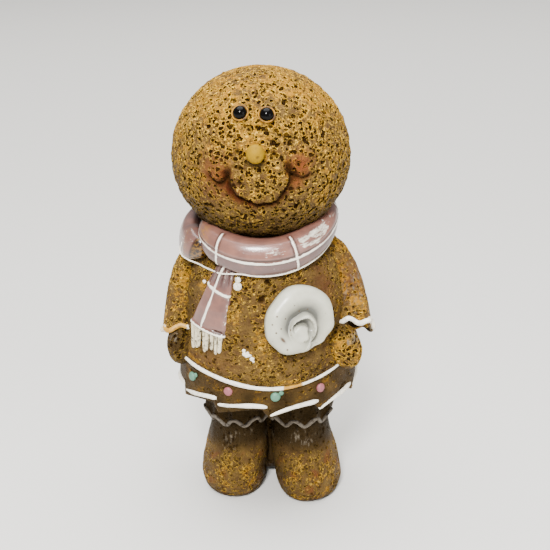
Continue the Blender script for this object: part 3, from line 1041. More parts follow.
class FIGURINE_OT_dress(bpy.types.Operator):
    """Build the bell of the dress, from the neck to the scalloped hem"""

    bl_idname = "figurine.dress"
    bl_label = "Dress"

    def execute(self, context):
        sizes = context.scene.figurine_sizes
        turns = np.arange(SCALLOPS * 36) * 360.0 / (SCALLOPS * 36)
        rings = []
        for height, radius in DRESS_PROFILE:
            swell = ARM_SWELL * math.sin(math.pi * min(1.0, (84.0 - height) / 30.0))
            rings.append(around(turns, radius + swell * np.sin(np.radians(turns)) ** 2, height))
        for radius, lift in ((LEDGE_RADIUS, 0.9), (BAND_RADIUS, -0.5)):
            rings.append(waist_point(turns, radius, lift))
        rings.append(rim_point(turns, RIM_RADIUS, RIM_WALL))
        rings.append(rim_point(turns, RIM_RADIUS))
        rings.append(rim_point(turns, RIM_RADIUS - 2.0))
        rings.append(around(turns, 21.5, np.full(len(turns), UNDERSIDE_HEIGHT)))
        steps = (13, 12, 14, 14, 16, 16, 16, 5, 24, 6, 6, 14)
        rows = refine(rings, steps)
        n = len(rows)
        sway = wander(rows, 5.0, 3.0)
        out = around(turns, 1.0, 0.0)[None] * (1, 1, 0)
        az = np.broadcast_to((turns + 180) % 360 - 180, (n, len(turns)))
        z = rows[..., 2]
        line = WAIST_LINE - dip(az, WAIST_DIP)
        above = z - line
        band_start, rim_start = sum(steps[:8]), sum(steps[:9])
        index = np.broadcast_to(np.arange(n)[:, None], z.shape)
        band = ramp(index, band_start - 4, band_start) * (1 - ramp(index, rim_start + 6, rim_start + 10))
        below = ramp(index, rim_start + 9, rim_start + 14)
        upper = 1 - np.maximum(band, below)
        rows = rows + out * (0.22 * sway * upper)[..., None]

        def spot(middle, height, wide, tall):
            return bump(((az - middle + 180) % 360 - 180) / wide) * bump((z - height) / tall)

        smooth = (
            spot(-38, 51, 16, 3.5) + spot(47, 72, 12, 8) + spot(-14, 63, 4.5, 9)
            + 0.8 * spot(30, 52, 12, 2.5)
        )
        smooth = np.clip(smooth, 0, 1)
        pits = upper * (0.62 + 0.42 * wander(rows, 7.0, 6.0)) * (1 - 0.85 * smooth) + 0.10 * band
        pits = np.where(z > 74, pits + 0.12, pits)
        gold = 0.50 + 0.28 * wander(rows, 8.0, 9.0) + 0.12 * spot(5, 62, 25, 14)
        gold = upper * gold * (1 - 0.55 * smooth)
        brushed = np.clip(spot(14, 45, 9, 30) + spot(-52, 47, 14, 30), 0, 1)
        gold = np.maximum(gold, upper * bump((above - 1.6) / 0.9) * (0.35 + 0.65 * brushed))
        gold = np.maximum(gold, band * (0.5 + 0.4 * wander(rows, 4.0, 15.0)))
        wash = (0.72 + 0.28 * wander(rows, 5.0, 12.0)) * band + 1.0 * below
        wash = np.maximum(wash, 0.75 * ramp(z, 75.5, 80.5))
        ledge = bump((above - 1.3) / 1.1) * (1 - np.clip(1.4 * spot(14, 45, 10, 30), 0, 1))
        sides = np.clip(spot(-66, 62, 9, 12) + spot(58, 58, 9, 10) + spot(33, 47.5, 10, 3), 0, 1)
        wash = np.maximum(wash, 0.5 * upper * np.maximum(ledge, sides))
        wash = np.maximum(wash, 0.20 * smooth)
        blush = 0.28 * spot(50, 71, 9, 6) + 0.18 * spot(-38, 51, 16, 3)
        wash = np.maximum(wash, 0.7 * np.clip(spot(-45, 56, 14, 4) + spot(-124, 55, 14, 4), 0, 1))
        frost = 0.85 * spot(84, 47, 9, 6) + 0.35 * spot(-84, 50, 8, 5) + 0.3 * spot(47, 72, 11, 7)
        ink = np.zeros_like(z)
        push = np.zeros_like(z)
        for middle, height, radius in DRESS_PITS:
            place = around(middle, between(DRESS_PROFILE, height), height)
            away = np.linalg.norm(rows - place, axis=2) / (radius * (1 + 0.6 * wander(rows, 1.2, 5.0)))
            ink = np.maximum(ink, 1 - ramp(away, 0.55, 1.0))
            push -= 0.6 * bump(away / 0.9)
        rows = rows + out * (push + FLANK_SWELL * spot(FLANK_AZIMUTH, 48, FLANK_BREADTH, 6))[..., None]
        marks = {
            "pits": pits, "rough": 1 - 0.5 * band, "gold": gold, "wash": wash, "blush": blush, "frost": frost,
            "ink": ink, "soft": 0.3,
        }
        dress = shell_object("dress", rows, marks, stretch=(1.0, 1.0, 1.45))
        settle(crusted(dress, sizes, 1.0, 2.0), "body", "body")
        return {"FINISHED"}


def cuff_point(bones, angle, radius, sink=0.0):
    """Points of the wavy cuff edge, which hangs lower on the outer side of the arm."""
    end, before = bezier(bones, 1.0), bezier(bones, 0.86)
    down = unit(end - before)
    side = unit(np.cross(down, (0, 1, 0)))
    deep = np.cross(side, down)
    r = radius * (1 + CUFF_WAVE[0] * np.sin(5 * angle))
    point = end + side * (r * np.cos(angle))[:, None] + deep * (0.92 * r * np.sin(angle))[:, None]
    outer = (point - end)[:, 0] * math.copysign(1.0, end[0]) / radius
    tilt = CUFF_TILTS[int(math.copysign(1, end[0]))]
    return point + down * (CUFF_WAVE[1] * 0.5 * np.sin(5 * angle) + tilt * outer + sink)[:, None]


class FIGURINE_OT_arms(bpy.types.Operator):
    """Build the sleeves with their wavy cuffs, and the mitten hands"""

    bl_idname = "figurine.arms"
    bl_label = "Arms"

    def execute(self, context):
        sizes = context.scene.figurine_sizes
        a = circle(104)
        for name, bones, sign in (("right", SLEEVE_RIGHT, 1), ("left", SLEEVE_LEFT, -1)):
            centres = [bezier(bones, i / 6) for i in range(7)]
            rings = []
            for i in range(6):
                along = unit(centres[i + 1] - centres[max(i - 1, 0)])
                side = unit(np.cross(along, (0, 1, 0)))
                deep = np.cross(side, along)
                ring = side * np.cos(a)[:, None] + deep * (0.92 * np.sin(a))[:, None]
                rings.append(centres[i] + SLEEVE_RADII[i] * ring)
            edge = SLEEVE_RADII[-1]
            for radius, sink in ((edge, 0.0), (edge * 0.78, 0.1), (edge * 0.68, -1.6)):
                rings.append(cuff_point(bones, a, radius, sink))
            rows = refine(rings, (12, 13, 13, 13, 12, 14, 4, 6), 2)
            n = len(rows)
            index = np.broadcast_to(np.arange(n)[:, None], rows.shape[:2])
            mouth = ramp(index, n - 11, n - 8)
            sleeve = 1 - mouth
            z = rows[..., 2]
            inner = ramp(-sign * (rows[..., 0] - np.array(bones)[2][0]) / 5.0, 0.1, 1.0)
            plain = 0.75 * (sign > 0) * bump((z - 70) / 7) * ramp(-rows[..., 1], -3, 2)
            pits = sleeve * (0.52 + 0.42 * wander(rows, 6.5, 2.0 + sign)) * (1 - plain) + 0.05
            gold = sleeve * (0.66 + 0.04 * sign + 0.26 * wander(rows, 7.0, 5.0 + sign))
            wash = np.maximum(0.85 * mouth, (0.33 - 0.12 * sign) * sleeve * inner)
            blush = 0.22 * bump((z - 70) / 5) * (sign > 0) * ramp(-rows[..., 1], -2, 3) * np.ones_like(z)
            edge_gold = bump((index - (n - 11)) / 2.5)
            gold = np.maximum(gold, 0.8 * edge_gold)
            frost = 0.6 * (sign > 0) * bump((z - 67) / 12) * ramp(-rows[..., 1], -6, 2)
            outer = ramp(sign * (rows[..., 0] - bones[3][0]) / 5.0, 0.3, 0.9)
            frost = np.maximum(frost, 0.9 * (sign > 0) * bump((index - (n - 10)) / 4.0) * outer)
            marks = {
                "pits": pits, "rough": 1.0, "gold": gold, "wash": wash, "blush": blush, "frost": frost,
                "soft": 0.35,
            }
            sleeve = shell_object(f"sleeve_{name}", rows, marks, stretch=(1.1, 1.1, 1.3))
            settle(crusted(sleeve, sizes, 1.0, 1.8), "body")
        for name, (centre, radii, lean) in (("right", HAND_RIGHT), ("left", HAND_LEFT)):
            turn = Matrix.Rotation(math.radians(lean), 3, "Y") @ Matrix.Rotation(math.radians(-10), 3, "X")
            rows = egg(centre, radii, turn, 70, 96)
            out = unit(rows - np.array(centre))
            rows = rows - out * (0.12 + 0.12 * wander(rows, 2.6))[..., None]
            z = rows[..., 2]
            shaded = 0.0 if name == "right" else 0.85
            pits = 0.80 + 0.2 * wander(rows, 4.0)
            gold = 0.76 + 0.2 * wander(rows, 4.5, 3.0) - 0.25 * ramp(centre[2] - z, 2, 7) - 0.3 * shaded
            wash = shaded * (0.75 + 0.25 * wander(rows, 4.0, 8.0))
            wash = np.maximum(wash, 0.75 * ramp(z, centre[2] + 2.5, centre[2] + 6))
            outer = rows[..., 0] * math.copysign(1, centre[0]) - abs(centre[0])
            frost = (
                (0.85 if name == "right" else 0.75) * bump((z - centre[2] - 3.4) / 2.2)
                * ramp(outer, -1.5, 1.5)
            )
            marks = {"pits": pits, "rough": 1.0, "gold": gold, "wash": wash, "frost": frost}
            hand = shell_object(f"hand_{name}", rows, marks)
            settle(crusted(hand, sizes), "body")
        return {"FINISHED"}


class FIGURINE_OT_legs(bpy.types.Operator):
    """Build the legs with their rounded feet, the dough between them, and the trouser ruffles"""

    bl_idname = "figurine.legs"
    bl_label = "Legs"

    def execute(self, context):
        sizes = context.scene.figurine_sizes
        a = circle(190)
        for name, sign, back in (("right", 1, 0.0), ("left", -1, LEFT_FOOT_BACK)):
            rings = []
            levels = zip(LEG_LEVELS, LEG_SPREADS, LEG_HALF_WIDTHS, LEG_HALF_DEPTHS, LEG_CENTRES)
            for z, spread, wide, deep, y in levels:
                middle = np.array((sign * spread, y + back * max(0.4, 1 - z / 40), z))
                rings.append(middle + np.stack((wide * np.cos(a), deep * np.sin(a), 0 * a), -1))
            rows = refine(rings, (4, 9, 15, 15, 15, 14, 16, 18), 3)
            z = rows[..., 2]
            centre = rows.mean(1)[:, None]
            out = unit((rows - centre) * (1, 1, 0))
            rows = rows + out * (0.2 * wander(rows, 5.0, sign) * ramp(z, 1, 5))[..., None]
            # The feet stand a little apart: their inner sides draw in towards the floor.
            toward = np.clip(-sign * (rows[..., 0] - centre[..., 0]) / 10.0, 0, 1)
            rows[..., 0] += sign * 1.5 * toward**1.5 * (1 - ramp(z, 3.0, 15.0))
            foot = 1 - ramp(z, 13.5, 19.5)
            free = ramp(z, 0.5, 1.6)
            inner = ramp(-sign * (rows[..., 0] - sign * 9), 2, 8)
            pits = free * (0.42 * foot + 0.12 + 0.25 * wander(rows, 6.0, 2.0))
            gold = foot * (0.52 + 0.34 * wander(rows, 4.0, 7.0 + sign)) - 0.2 * inner
            wash = np.maximum(1.0 * (1 - foot), np.maximum(0.7 * inner, 0.12 + 0.25 * (1 - ramp(z, 1, 6))))
            blush = 0.4 * ramp(wander(rows, 3.5, 4.0 + sign), 0.35, 0.8) * foot
            front = ramp(-rows[..., 1], -2, 6)
            frost = (0.76 if sign < 0 else 0.6) * bump((z - 19.5) / 4.5) * front
            frost = frost * (0.8 + 0.5 * wander(rows, 6.0, 8.0))
            marks = {
                "pits": pits, "rough": free, "gold": gold, "wash": wash, "blush": blush, "frost": frost,
                "soft": 0.7 * free,
            }
            leg = shell_object(f"leg_{name}", rows, marks, stretch=(1.25, 1.25, 1.25))
            settle(crusted(leg, sizes, 0.75, 1.6), "body")

            b = circle(RUFFLE_WAVES * 32)
            rings = []
            for wide, deep, rise, wave in RUFFLE_RINGS:
                ripple = wave * np.sin(RUFFLE_WAVES * b)
                x = sign * LEG_SPREADS[-1] + (wide + ripple) * np.cos(b)
                y = back * 0.4 - 1.2 + (deep + ripple) * np.sin(b)
                rings.append(np.stack((x, y, RUFFLE_HEIGHT + rise + 1.8 * ripple), -1))
            skirt = refine(rings, (18, 18, 5, 6), 2)
            index = np.broadcast_to(np.arange(len(skirt))[:, None], skirt.shape[:2])
            edge = bump((index - 36) / 4.0)
            wash, frost = 0.97 - 0.25 * edge, 0.35 * edge + 0.25
            marks = {"pits": 0.1, "rough": 0.7, "gold": 0.1, "wash": wash, "frost": frost}
            settle(crusted(shell_object(f"ruffle_{name}", skirt, marks), sizes, 0.5, 1.5), "body")
        c = circle(100)
        rings = [np.stack((wide * np.cos(c), 3.2 + deep * np.sin(c), z + 0 * c), -1)
            for z, wide, deep in LEG_WEB]
        rows = refine(rings, (8, 34, 36), 2)
        web = shell_object("leg_web", rows, {"pits": 0.2, "rough": 1.0, "gold": 0.1, "wash": 0.8})
        settle(crusted(web, sizes, 0.6, 1.2), "body")
        return {"FINISHED"}


# Icing and sugar.


class FIGURINE_OT_icing(bpy.types.Operator):
    """Pipe the white lines of the waist, hem, cuffs and ruffles"""

    bl_idname = "figurine.icing"
    bl_label = "Piped icing"

    def execute(self, context):
        sizes = context.scene.figurine_sizes
        turns = np.arange(240) * 1.5
        near = (turns + 180) % 360 - 180
        girth = sizes.waist_line / MM * (0.62 + 0.42 * bump((near + 25) / 42) + 0.06 * np.sin(turns * 0.21))
        bare = 0.9 * ramp(near, 7, 11) * (1 - ramp(near, 19, 24)) + 0.25 * ramp(np.abs(near), 62, 75)
        swell = FLANK_SWELL * bump((near - FLANK_AZIMUTH) / FLANK_BREADTH)
        path = waist_point(turns, BAND_RADIUS + 0.38 + swell)
        waist = lines_object("waist_line", [path], [girth], closed=True, marks={"bare": [bare]})
        settle(piped(waist, "piped_white_icing", 0.4, 0.3), "body")

        pitch = 360.0 / SCALLOPS
        paths, girths, bares = [], [], []
        for k in range(SCALLOPS):
            share = np.linspace(-0.02, 0.96, 32)
            az = pitch * (k + share)
            # Three of the strokes sit off the line: two at the left a little high, and one at the right low.
            lift = {9: 0.9 + 0 * share, 10: 1.9 * (1 - share), 1: -0.7 + 0 * share}.get(k, 0 * share)
            climb = np.sin(np.minimum(1, share / 0.9) * np.pi / 2) - 0.5
            height = RIM_HEIGHT + SCALLOP_STEP * climb + 0.95 + 0.25 * np.sin(share * 5 + k) + lift
            paths.append(around(az, RIM_RADIUS + 0.25 - 0.05 * lift, height))
            ends = np.clip(np.minimum(share + 0.05, 0.99 - share) * 12, 0.25, 1)
            girth = 0.72 + 0.28 * bump((share - 0.6) / 0.35) + 0.1 * np.sin(9 * share + 2 * k)
            girths.append(sizes.hem_line / MM * 0.85 * girth * np.sqrt(ends))
            bares.append(0.15 + 0.25 * bump((share - 0.05) / 0.1))
        hem = lines_object("hem_strokes", paths, girths, marks={"bare": bares})
        settle(piped(hem, "piped_white_icing", 0.4, 0.4, seed=2.0), "body")

        a = circle(120)
        for name, bones in (("right", SLEEVE_RIGHT), ("left", SLEEVE_LEFT)):
            path = cuff_point(bones, a, SLEEVE_RADII[-1] * 0.97, 0.0)
            front = ramp(-(path[:, 1] - bezier(bones, 1.0)[1]), -3.5, 0)
            if name == "right":
                # Across the front the line keeps level, in one deep wave, above the lower outer edge.
                across = (path[:, 0] - bones[3][0]) / SLEEVE_RADII[-1]
                wave = 0.85 * np.cos(6.16 * (across + 0.35)) + 0.1
                path[:, 2] += front * (2.0 * np.clip(across, -0.2, 1) + wave)
            size = sizes.cuff_line / MM * (0.55 + 0.4 * front)
            worn = 0.25 + 0.4 * (1 - front) if name == "right" else 0.62 + 0.2 * np.sin(3 * a + 1)
            cuff = lines_object(f"cuff_icing_{name}", [path], [size], closed=True, marks={"bare": [worn]})
            settle(piped(cuff, "piped_white_icing", 0.35, 0.4, seed=5.0), "body")

        paths = []
        for sign, back in ((1, 0.0), (-1, LEFT_FOOT_BACK)):
            b = circle(220)
            wide, deep, rise, wave = RUFFLE_RINGS[2]
            ripple = wave * np.sin(RUFFLE_WAVES * b)
            x = sign * LEG_SPREADS[-1] + (wide + ripple - 0.25) * np.cos(b)
            y = back * 0.4 - 1.2 + (deep + ripple - 0.25) * np.sin(b)
            paths.append(np.stack((x, y, RUFFLE_HEIGHT + rise + 1.8 * ripple + 0.15), -1))
        edge = lines_object("ruffle_edges", paths, [0.62, 0.62], closed=True)
        settle(piped(edge, "grey_ruffle_edge_paint", 0.4, 0.5, 10), "body")
        return {"FINISHED"}


def scatter(name, places, facings, scales, finish, radius, flatness, unevenness=0.3):
    """Sugar pieces at the given points, each facing outwards."""
    mesh = bpy.data.meshes.new(name)
    mesh.from_pydata(((np.array(places) + (*FIGURE_SHIFT, 0.0)) * MM).tolist(), [], [])
    facing = mesh.attributes.new("facing", "FLOAT_VECTOR", "POINT")
    facing.data.foreach_set("vector", np.array(facings, np.float32).ravel())
    size = mesh.attributes.new("size", "FLOAT", "POINT")
    size.data.foreach_set("value", np.array(scales, np.float32))
    obj = bpy.data.objects.new(name, mesh)
    bpy.context.scene.collection.objects.link(obj)
    grow(obj, TREES["dots"], radius=radius * MM, flatness=flatness, unevenness=unevenness * MM,
        material=FINISHES[finish])
    return settle(obj, "body")


class FIGURINE_OT_sugar(bpy.types.Operator):
    """Set the mint and rose sugar dots round the hem, and the white buttons on the dress"""

    bl_idname = "figurine.sugar"
    bl_label = "Sugar dots"

    def execute(self, context):
        sizes = context.scene.figurine_sizes
        radius = sizes.sugar_dot / MM
        sets = {"rose": ([], [], []), "mint": ([], [], [])}
        for k in range(DOT_COUNT):
            if k == 2:
                # The right hand lies over this place.
                continue
            az = 360.0 / DOT_COUNT * k + 4.0
            height = DOT_LINE - dip(az, DOT_DIP)
            waist, rim = waist_point(az, BAND_RADIUS, -0.5), rim_point(az, RIM_RADIUS, RIM_WALL)
            share = (waist[2] - height) / (waist[2] - rim[2])
            out = around(az, 1.0, 0.0)
            spots, facings, scales = sets["mint" if k % 2 == 0 else "rose"]
            spots.append(waist + (rim - waist) * share + out * 0.25)
            facings.append(out)
            scales.append(1.0 + 0.08 * math.sin(5.0 * k))
            if k % 2 == 0:
                # A crumb of the same sugar stuck beside the dot.
                out = around(az + 3.6, 1.0, 0.0)
                spots.append(around(az + 3.6, np.hypot(*spots[-1][:2]) - 0.1, spots[-1][2] + 1.0))
                facings.append(out)
                scales.append(0.5)
        for name, (spots, facings, scales) in sets.items():
            scatter(f"{name}_dots", spots, facings, scales, f"{name}_sugar_paint", radius, 0.62)

        def on_dress(az, z, rise):
            return around(az, between(DRESS_PROFILE, z) + rise, z)

        az, z = BUTTON
        spots = [on_dress(az, z, 0.3), on_dress(az - 0.6, z + 1.6, -0.1), around(-46.5, 23.2, 73.6)]
        scatter("white_button", spots, [around(az, 1.0, 0.0)] * 3, [1.0, 0.75, 0.42], "white_button_paint",
            1.25, 0.7, 0.25)
        az, z = ICING_DAB
        spots = [on_dress(az + da, z + dz, 0.0) for da, dz, _ in DAB_CRUMBS]
        facings, scales = [around(az, 1.0, 0.0)] * len(spots), [scale for _, _, scale in DAB_CRUMBS]
        scatter("icing_dab", spots, facings, scales, "white_button_paint", 0.95, 0.5, 0.6)
        return {"FINISHED"}


# Scarf.


def scarf_centre(azimuth):
    """Radius, height and slimness of the main roll's middle: it rises from the front to the nape."""
    away = np.minimum(115.0, np.abs(np.where(azimuth < 180, azimuth, azimuth - 360)))
    rise = (1 - np.cos(np.radians(away * 180 / 115))) / 2
    tuck = np.clip((SCARF_SPAN[0] + 26 - azimuth) / 26, 0, 1)
    return SCARF_RADIUS - 0.5 * rise - 2.2 * tuck * tuck, SCARF_HEIGHT + SCARF_RISE * rise, 1 - 0.2 * rise


def wrap_centre(azimuth):
    """The same for the under turn, which slips beneath the main roll at the front left."""
    share = (azimuth - WRAP_SPAN[0]) / WRAP_SINK
    left = np.sin(np.radians(np.clip(azimuth - 180.0, 0, 180)))
    start, end = SCARF_HEIGHT + SCARF_RISE - 1.2, SCARF_HEIGHT + 0.4
    under = 1.3 * ramp(azimuth, 292, 318)
    radius = 19.1 + 2.6 * left - 1.3 * share - under
    height = start + (end - start) * np.minimum(1.0, 1.9 * share)
    return radius, height, np.ones_like(azimuth)


def roll_section(centre_of, span, half, azimuth, angle, grow_by=0.0):
    """Points of a wound band: azimuth along it, and angle round its section from its outer side upwards."""
    share = (azimuth - span[0]) / (span[1] - span[0])
    radius, height, slim = centre_of(azimuth)
    ends = np.minimum(1.0, 0.35 + 0.65 * np.sqrt(np.clip(9 * np.minimum(share, 1 - share), 0, 1)))
    c, s = np.cos(angle), np.sin(angle)
    dr = np.copysign(np.abs(c) ** 0.75, c) * (half[0] * ends + grow_by)
    dz = np.copysign(np.abs(s) ** 0.75, s) * (half[1] * ends * slim + grow_by)
    return around(azimuth, radius + dr - 0.16 * dz, height + dz), dz, dr


class FIGURINE_OT_scarf(bpy.types.Operator):
    """Wind the scarf's main roll and its under turn round the neck, with their stripes"""

    bl_idname = "figurine.scarf"
    bl_label = "Scarf turns"

    def execute(self, context):
        sizes = context.scene.figurine_sizes
        half = sizes.scarf_stripe / MM
        finish = FINISHES["varnished_pink_scarf"]
        angle = circle(128)[None]
        az = np.linspace(*SCARF_SPAN, 420)[:, None]
        rows, dz, dr = roll_section(scarf_centre, SCARF_SPAN, SCARF_HALF, az, angle)
        face = ramp(dr, 0.3, 1.6)
        step = np.where(az < 0, -0.75 + 1.0 * (az / 60) ** 2, -0.8 + 0.5 * (np.clip(az, 0, 70) / 58) ** 2)
        to_step = dz - step
        # The lower fold lies a little behind the upper one, with a rib along the step.
        push = face * (0.22 * ramp(to_step, 0.1, 0.7) - 0.30 * (1 - ramp(to_step, -0.7, -0.1)))
        push -= face * 0.40 * bump((to_step - 0.72) / 0.24)
        rib = bump(to_step / (half * 0.9)) * face
        stripe, fold = rib.copy(), 0.95 * face * bump((to_step - 0.74) / 0.30)
        push += 0.16 * rib
        for middle, lean in CROSS_STRIPES:
            across = np.radians(az - middle - lean * dz) * 22.0
            bar = bump(across / (half * 1.0)) * face
            push += 0.22 * bar
            stripe = np.maximum(stripe, bar)
            fold = np.maximum(fold, 0.8 * face * bump((np.abs(across) - 0.72) / 0.2)
                * ramp(to_step, 0.2, 0.6))
            fold = np.maximum(fold, 0.9 * face * bump(across / 0.5) * bump((dz - 4.1) / 0.35))
        frayed = 1.6 * wander(rows, 2.2, 7.0)
        along = ramp(az + 1.5 * dz + frayed, 30, 33) * (1 - ramp(az + frayed, 53, 60))
        up = ramp(to_step + 0.2 * frayed, 0.9, 1.9) * (1 - ramp(dz + 0.15 * frayed, 3.8, 4.6))
        brush = 0.80 * face * along * up
        brush *= 1.0 - 0.45 * bump((dz - 2.3 + 0.02 * (az - 40)) / 0.6) * bump((az - 38) / 9)
        brush = np.maximum(brush, 0.60 * face * bump((dz - 2.0) / 1.1) * bump((az - 7) / 14))
        upper = 0.46 * bump((dz - 2.9 - 0.5 * np.sin(az * 0.13)) / 0.8) * ramp(az, -30, -12)
        brush = np.maximum(brush, face * np.maximum(0.30 * bump((to_step + 1.3) / 0.9), upper))
        stain = 0.95 * face * bump((az + 51 - 2.2 * (2.0 - dz)) / 5.5) * ramp(to_step, 0.4, 1.2)
        lilac = 0.75 * (1 - ramp(to_step, -0.3, 0.2)) + 0.35 * ramp(np.abs(az), 60, 95)
        fold = np.maximum(fold, 0.85 * ramp(-dr, -0.6, 1.2) * ramp(dz, 0, 3))
        # A dark crease where the roll's left end tucks in.
        fold = np.maximum(fold, 0.9 * bump((az + 76) / 3.0))
        out = around(az, 1.0, 0.0)
        rows = rows + out * (push + 0.10 * wander(rows, 7.0))[..., None]
        marks = {
            "stripe": stripe, "brush": brush, "stain": stain, "fold": fold, "lilac": lilac,
            "run": np.radians(az - SCARF_SPAN[0]) * 0.2, "over": dz * 0.1 + 0.5,
        }
        settle(shell_object("scarf_roll", rows, marks, finish), "scarf", "scarf")

        az = np.linspace(*WRAP_SPAN, 330)[:, None]
        angle = circle(96)[None]
        rows, dz, dr = roll_section(wrap_centre, WRAP_SPAN, WRAP_HALF, az, angle)
        face = ramp(dr, 0.2, 1.4)
        bar = bump(np.radians(az - 285.0 - 1.0 * dz) * 24.0 / half) * face * (1 - ramp(dz, 0.2, 1.0))
        for middle in (225.0, 182.0):
            bar = np.maximum(bar, bump(np.radians(az - middle) * 22.0 / half) * face)
        bare = ramp(az - 0.8 * dz, 296.5, 298.5) * np.ones(rows.shape[:2])
        fold = np.maximum(0.7 * bump((az - 0.8 * dz - 297.5) / 0.9) * face,
            0.8 * ramp(-dr, -0.6, 1.2) * ramp(dz, 0, 3))
        brush = (0.26 + 0.2 * bump((dz - 1.5) / 1.0)) * face * (1 - bare)
        stain = 0.3 * bump((az - 290) / 4) * face
        marks = {
            "stripe": bar * (1 - bare), "brush": brush, "stain": stain, "fold": fold, "lilac": 0.45,
            "dough": bare,
            "run": np.radians(az - WRAP_SPAN[0]) * 0.2, "over": dz * 0.1 + 0.5,
        }
        rows = rows + around(az, 1.0, 0.0) * (0.2 * bar + 0.15 * wander(rows, 6.0, 3.0))[..., None]
        settle(shell_object("scarf_under_turn", rows, marks, finish), "scarf")

        # The thin bright line leaves the under turn, lies on the dress, and runs on under the main roll.
        left = np.array([around(*p) for p in EDGE_LINE])
        az = np.linspace(-18, 120, 50)
        right = roll_section(scarf_centre, SCARF_SPAN, SCARF_HALF, az, np.radians(-66.0))[0]
        path = smooth_path(np.vstack((left, right[::3])), 220)
        size = 0.24 * np.minimum(1, np.linspace(0, 14, 220)) * np.minimum(1, np.linspace(5, 0.3, 220))
        cord = lines_object("scarf_edge_line", [path], [np.maximum(size, 0.05)],
            marks={"bare": [np.full(220, 0.12)]})
        settle(piped(cord, "piped_white_icing", 0.35, 0.3, 8), "scarf")
        return {"FINISHED"}


def tail_surface(azimuth, height):
    """Radius of the dress or the shoulder under a scarf tail."""
    away = np.radians(np.abs(azimuth) - 96.0)
    shoulder = 3.6 * bump(away / 0.42) * np.clip((82.0 - height) / 10.0, 0, 1)
    return between(DRESS_PROFILE, height) + shoulder


def tail_place(form, u, t, fringe):
    """Azimuth and height on a tail, from its left edge u = -1 to its right u = 1, down it and its fringe."""
    (a0, z0), (a1, z1), (h0, h1) = form["top"], form["bottom"], form["half"]
    af, zf = form["fringe"]
    middle = a0 + (a1 - a0) * t + (af - a1) * fringe
    half = h0 + (h1 - h0) * t**0.8 - 1.2 * fringe
    return middle + u * half, z0 + (z1 - z0) * t + (zf - z1) * fringe + 0.6 * u * np.minimum(1.0, t * 2)


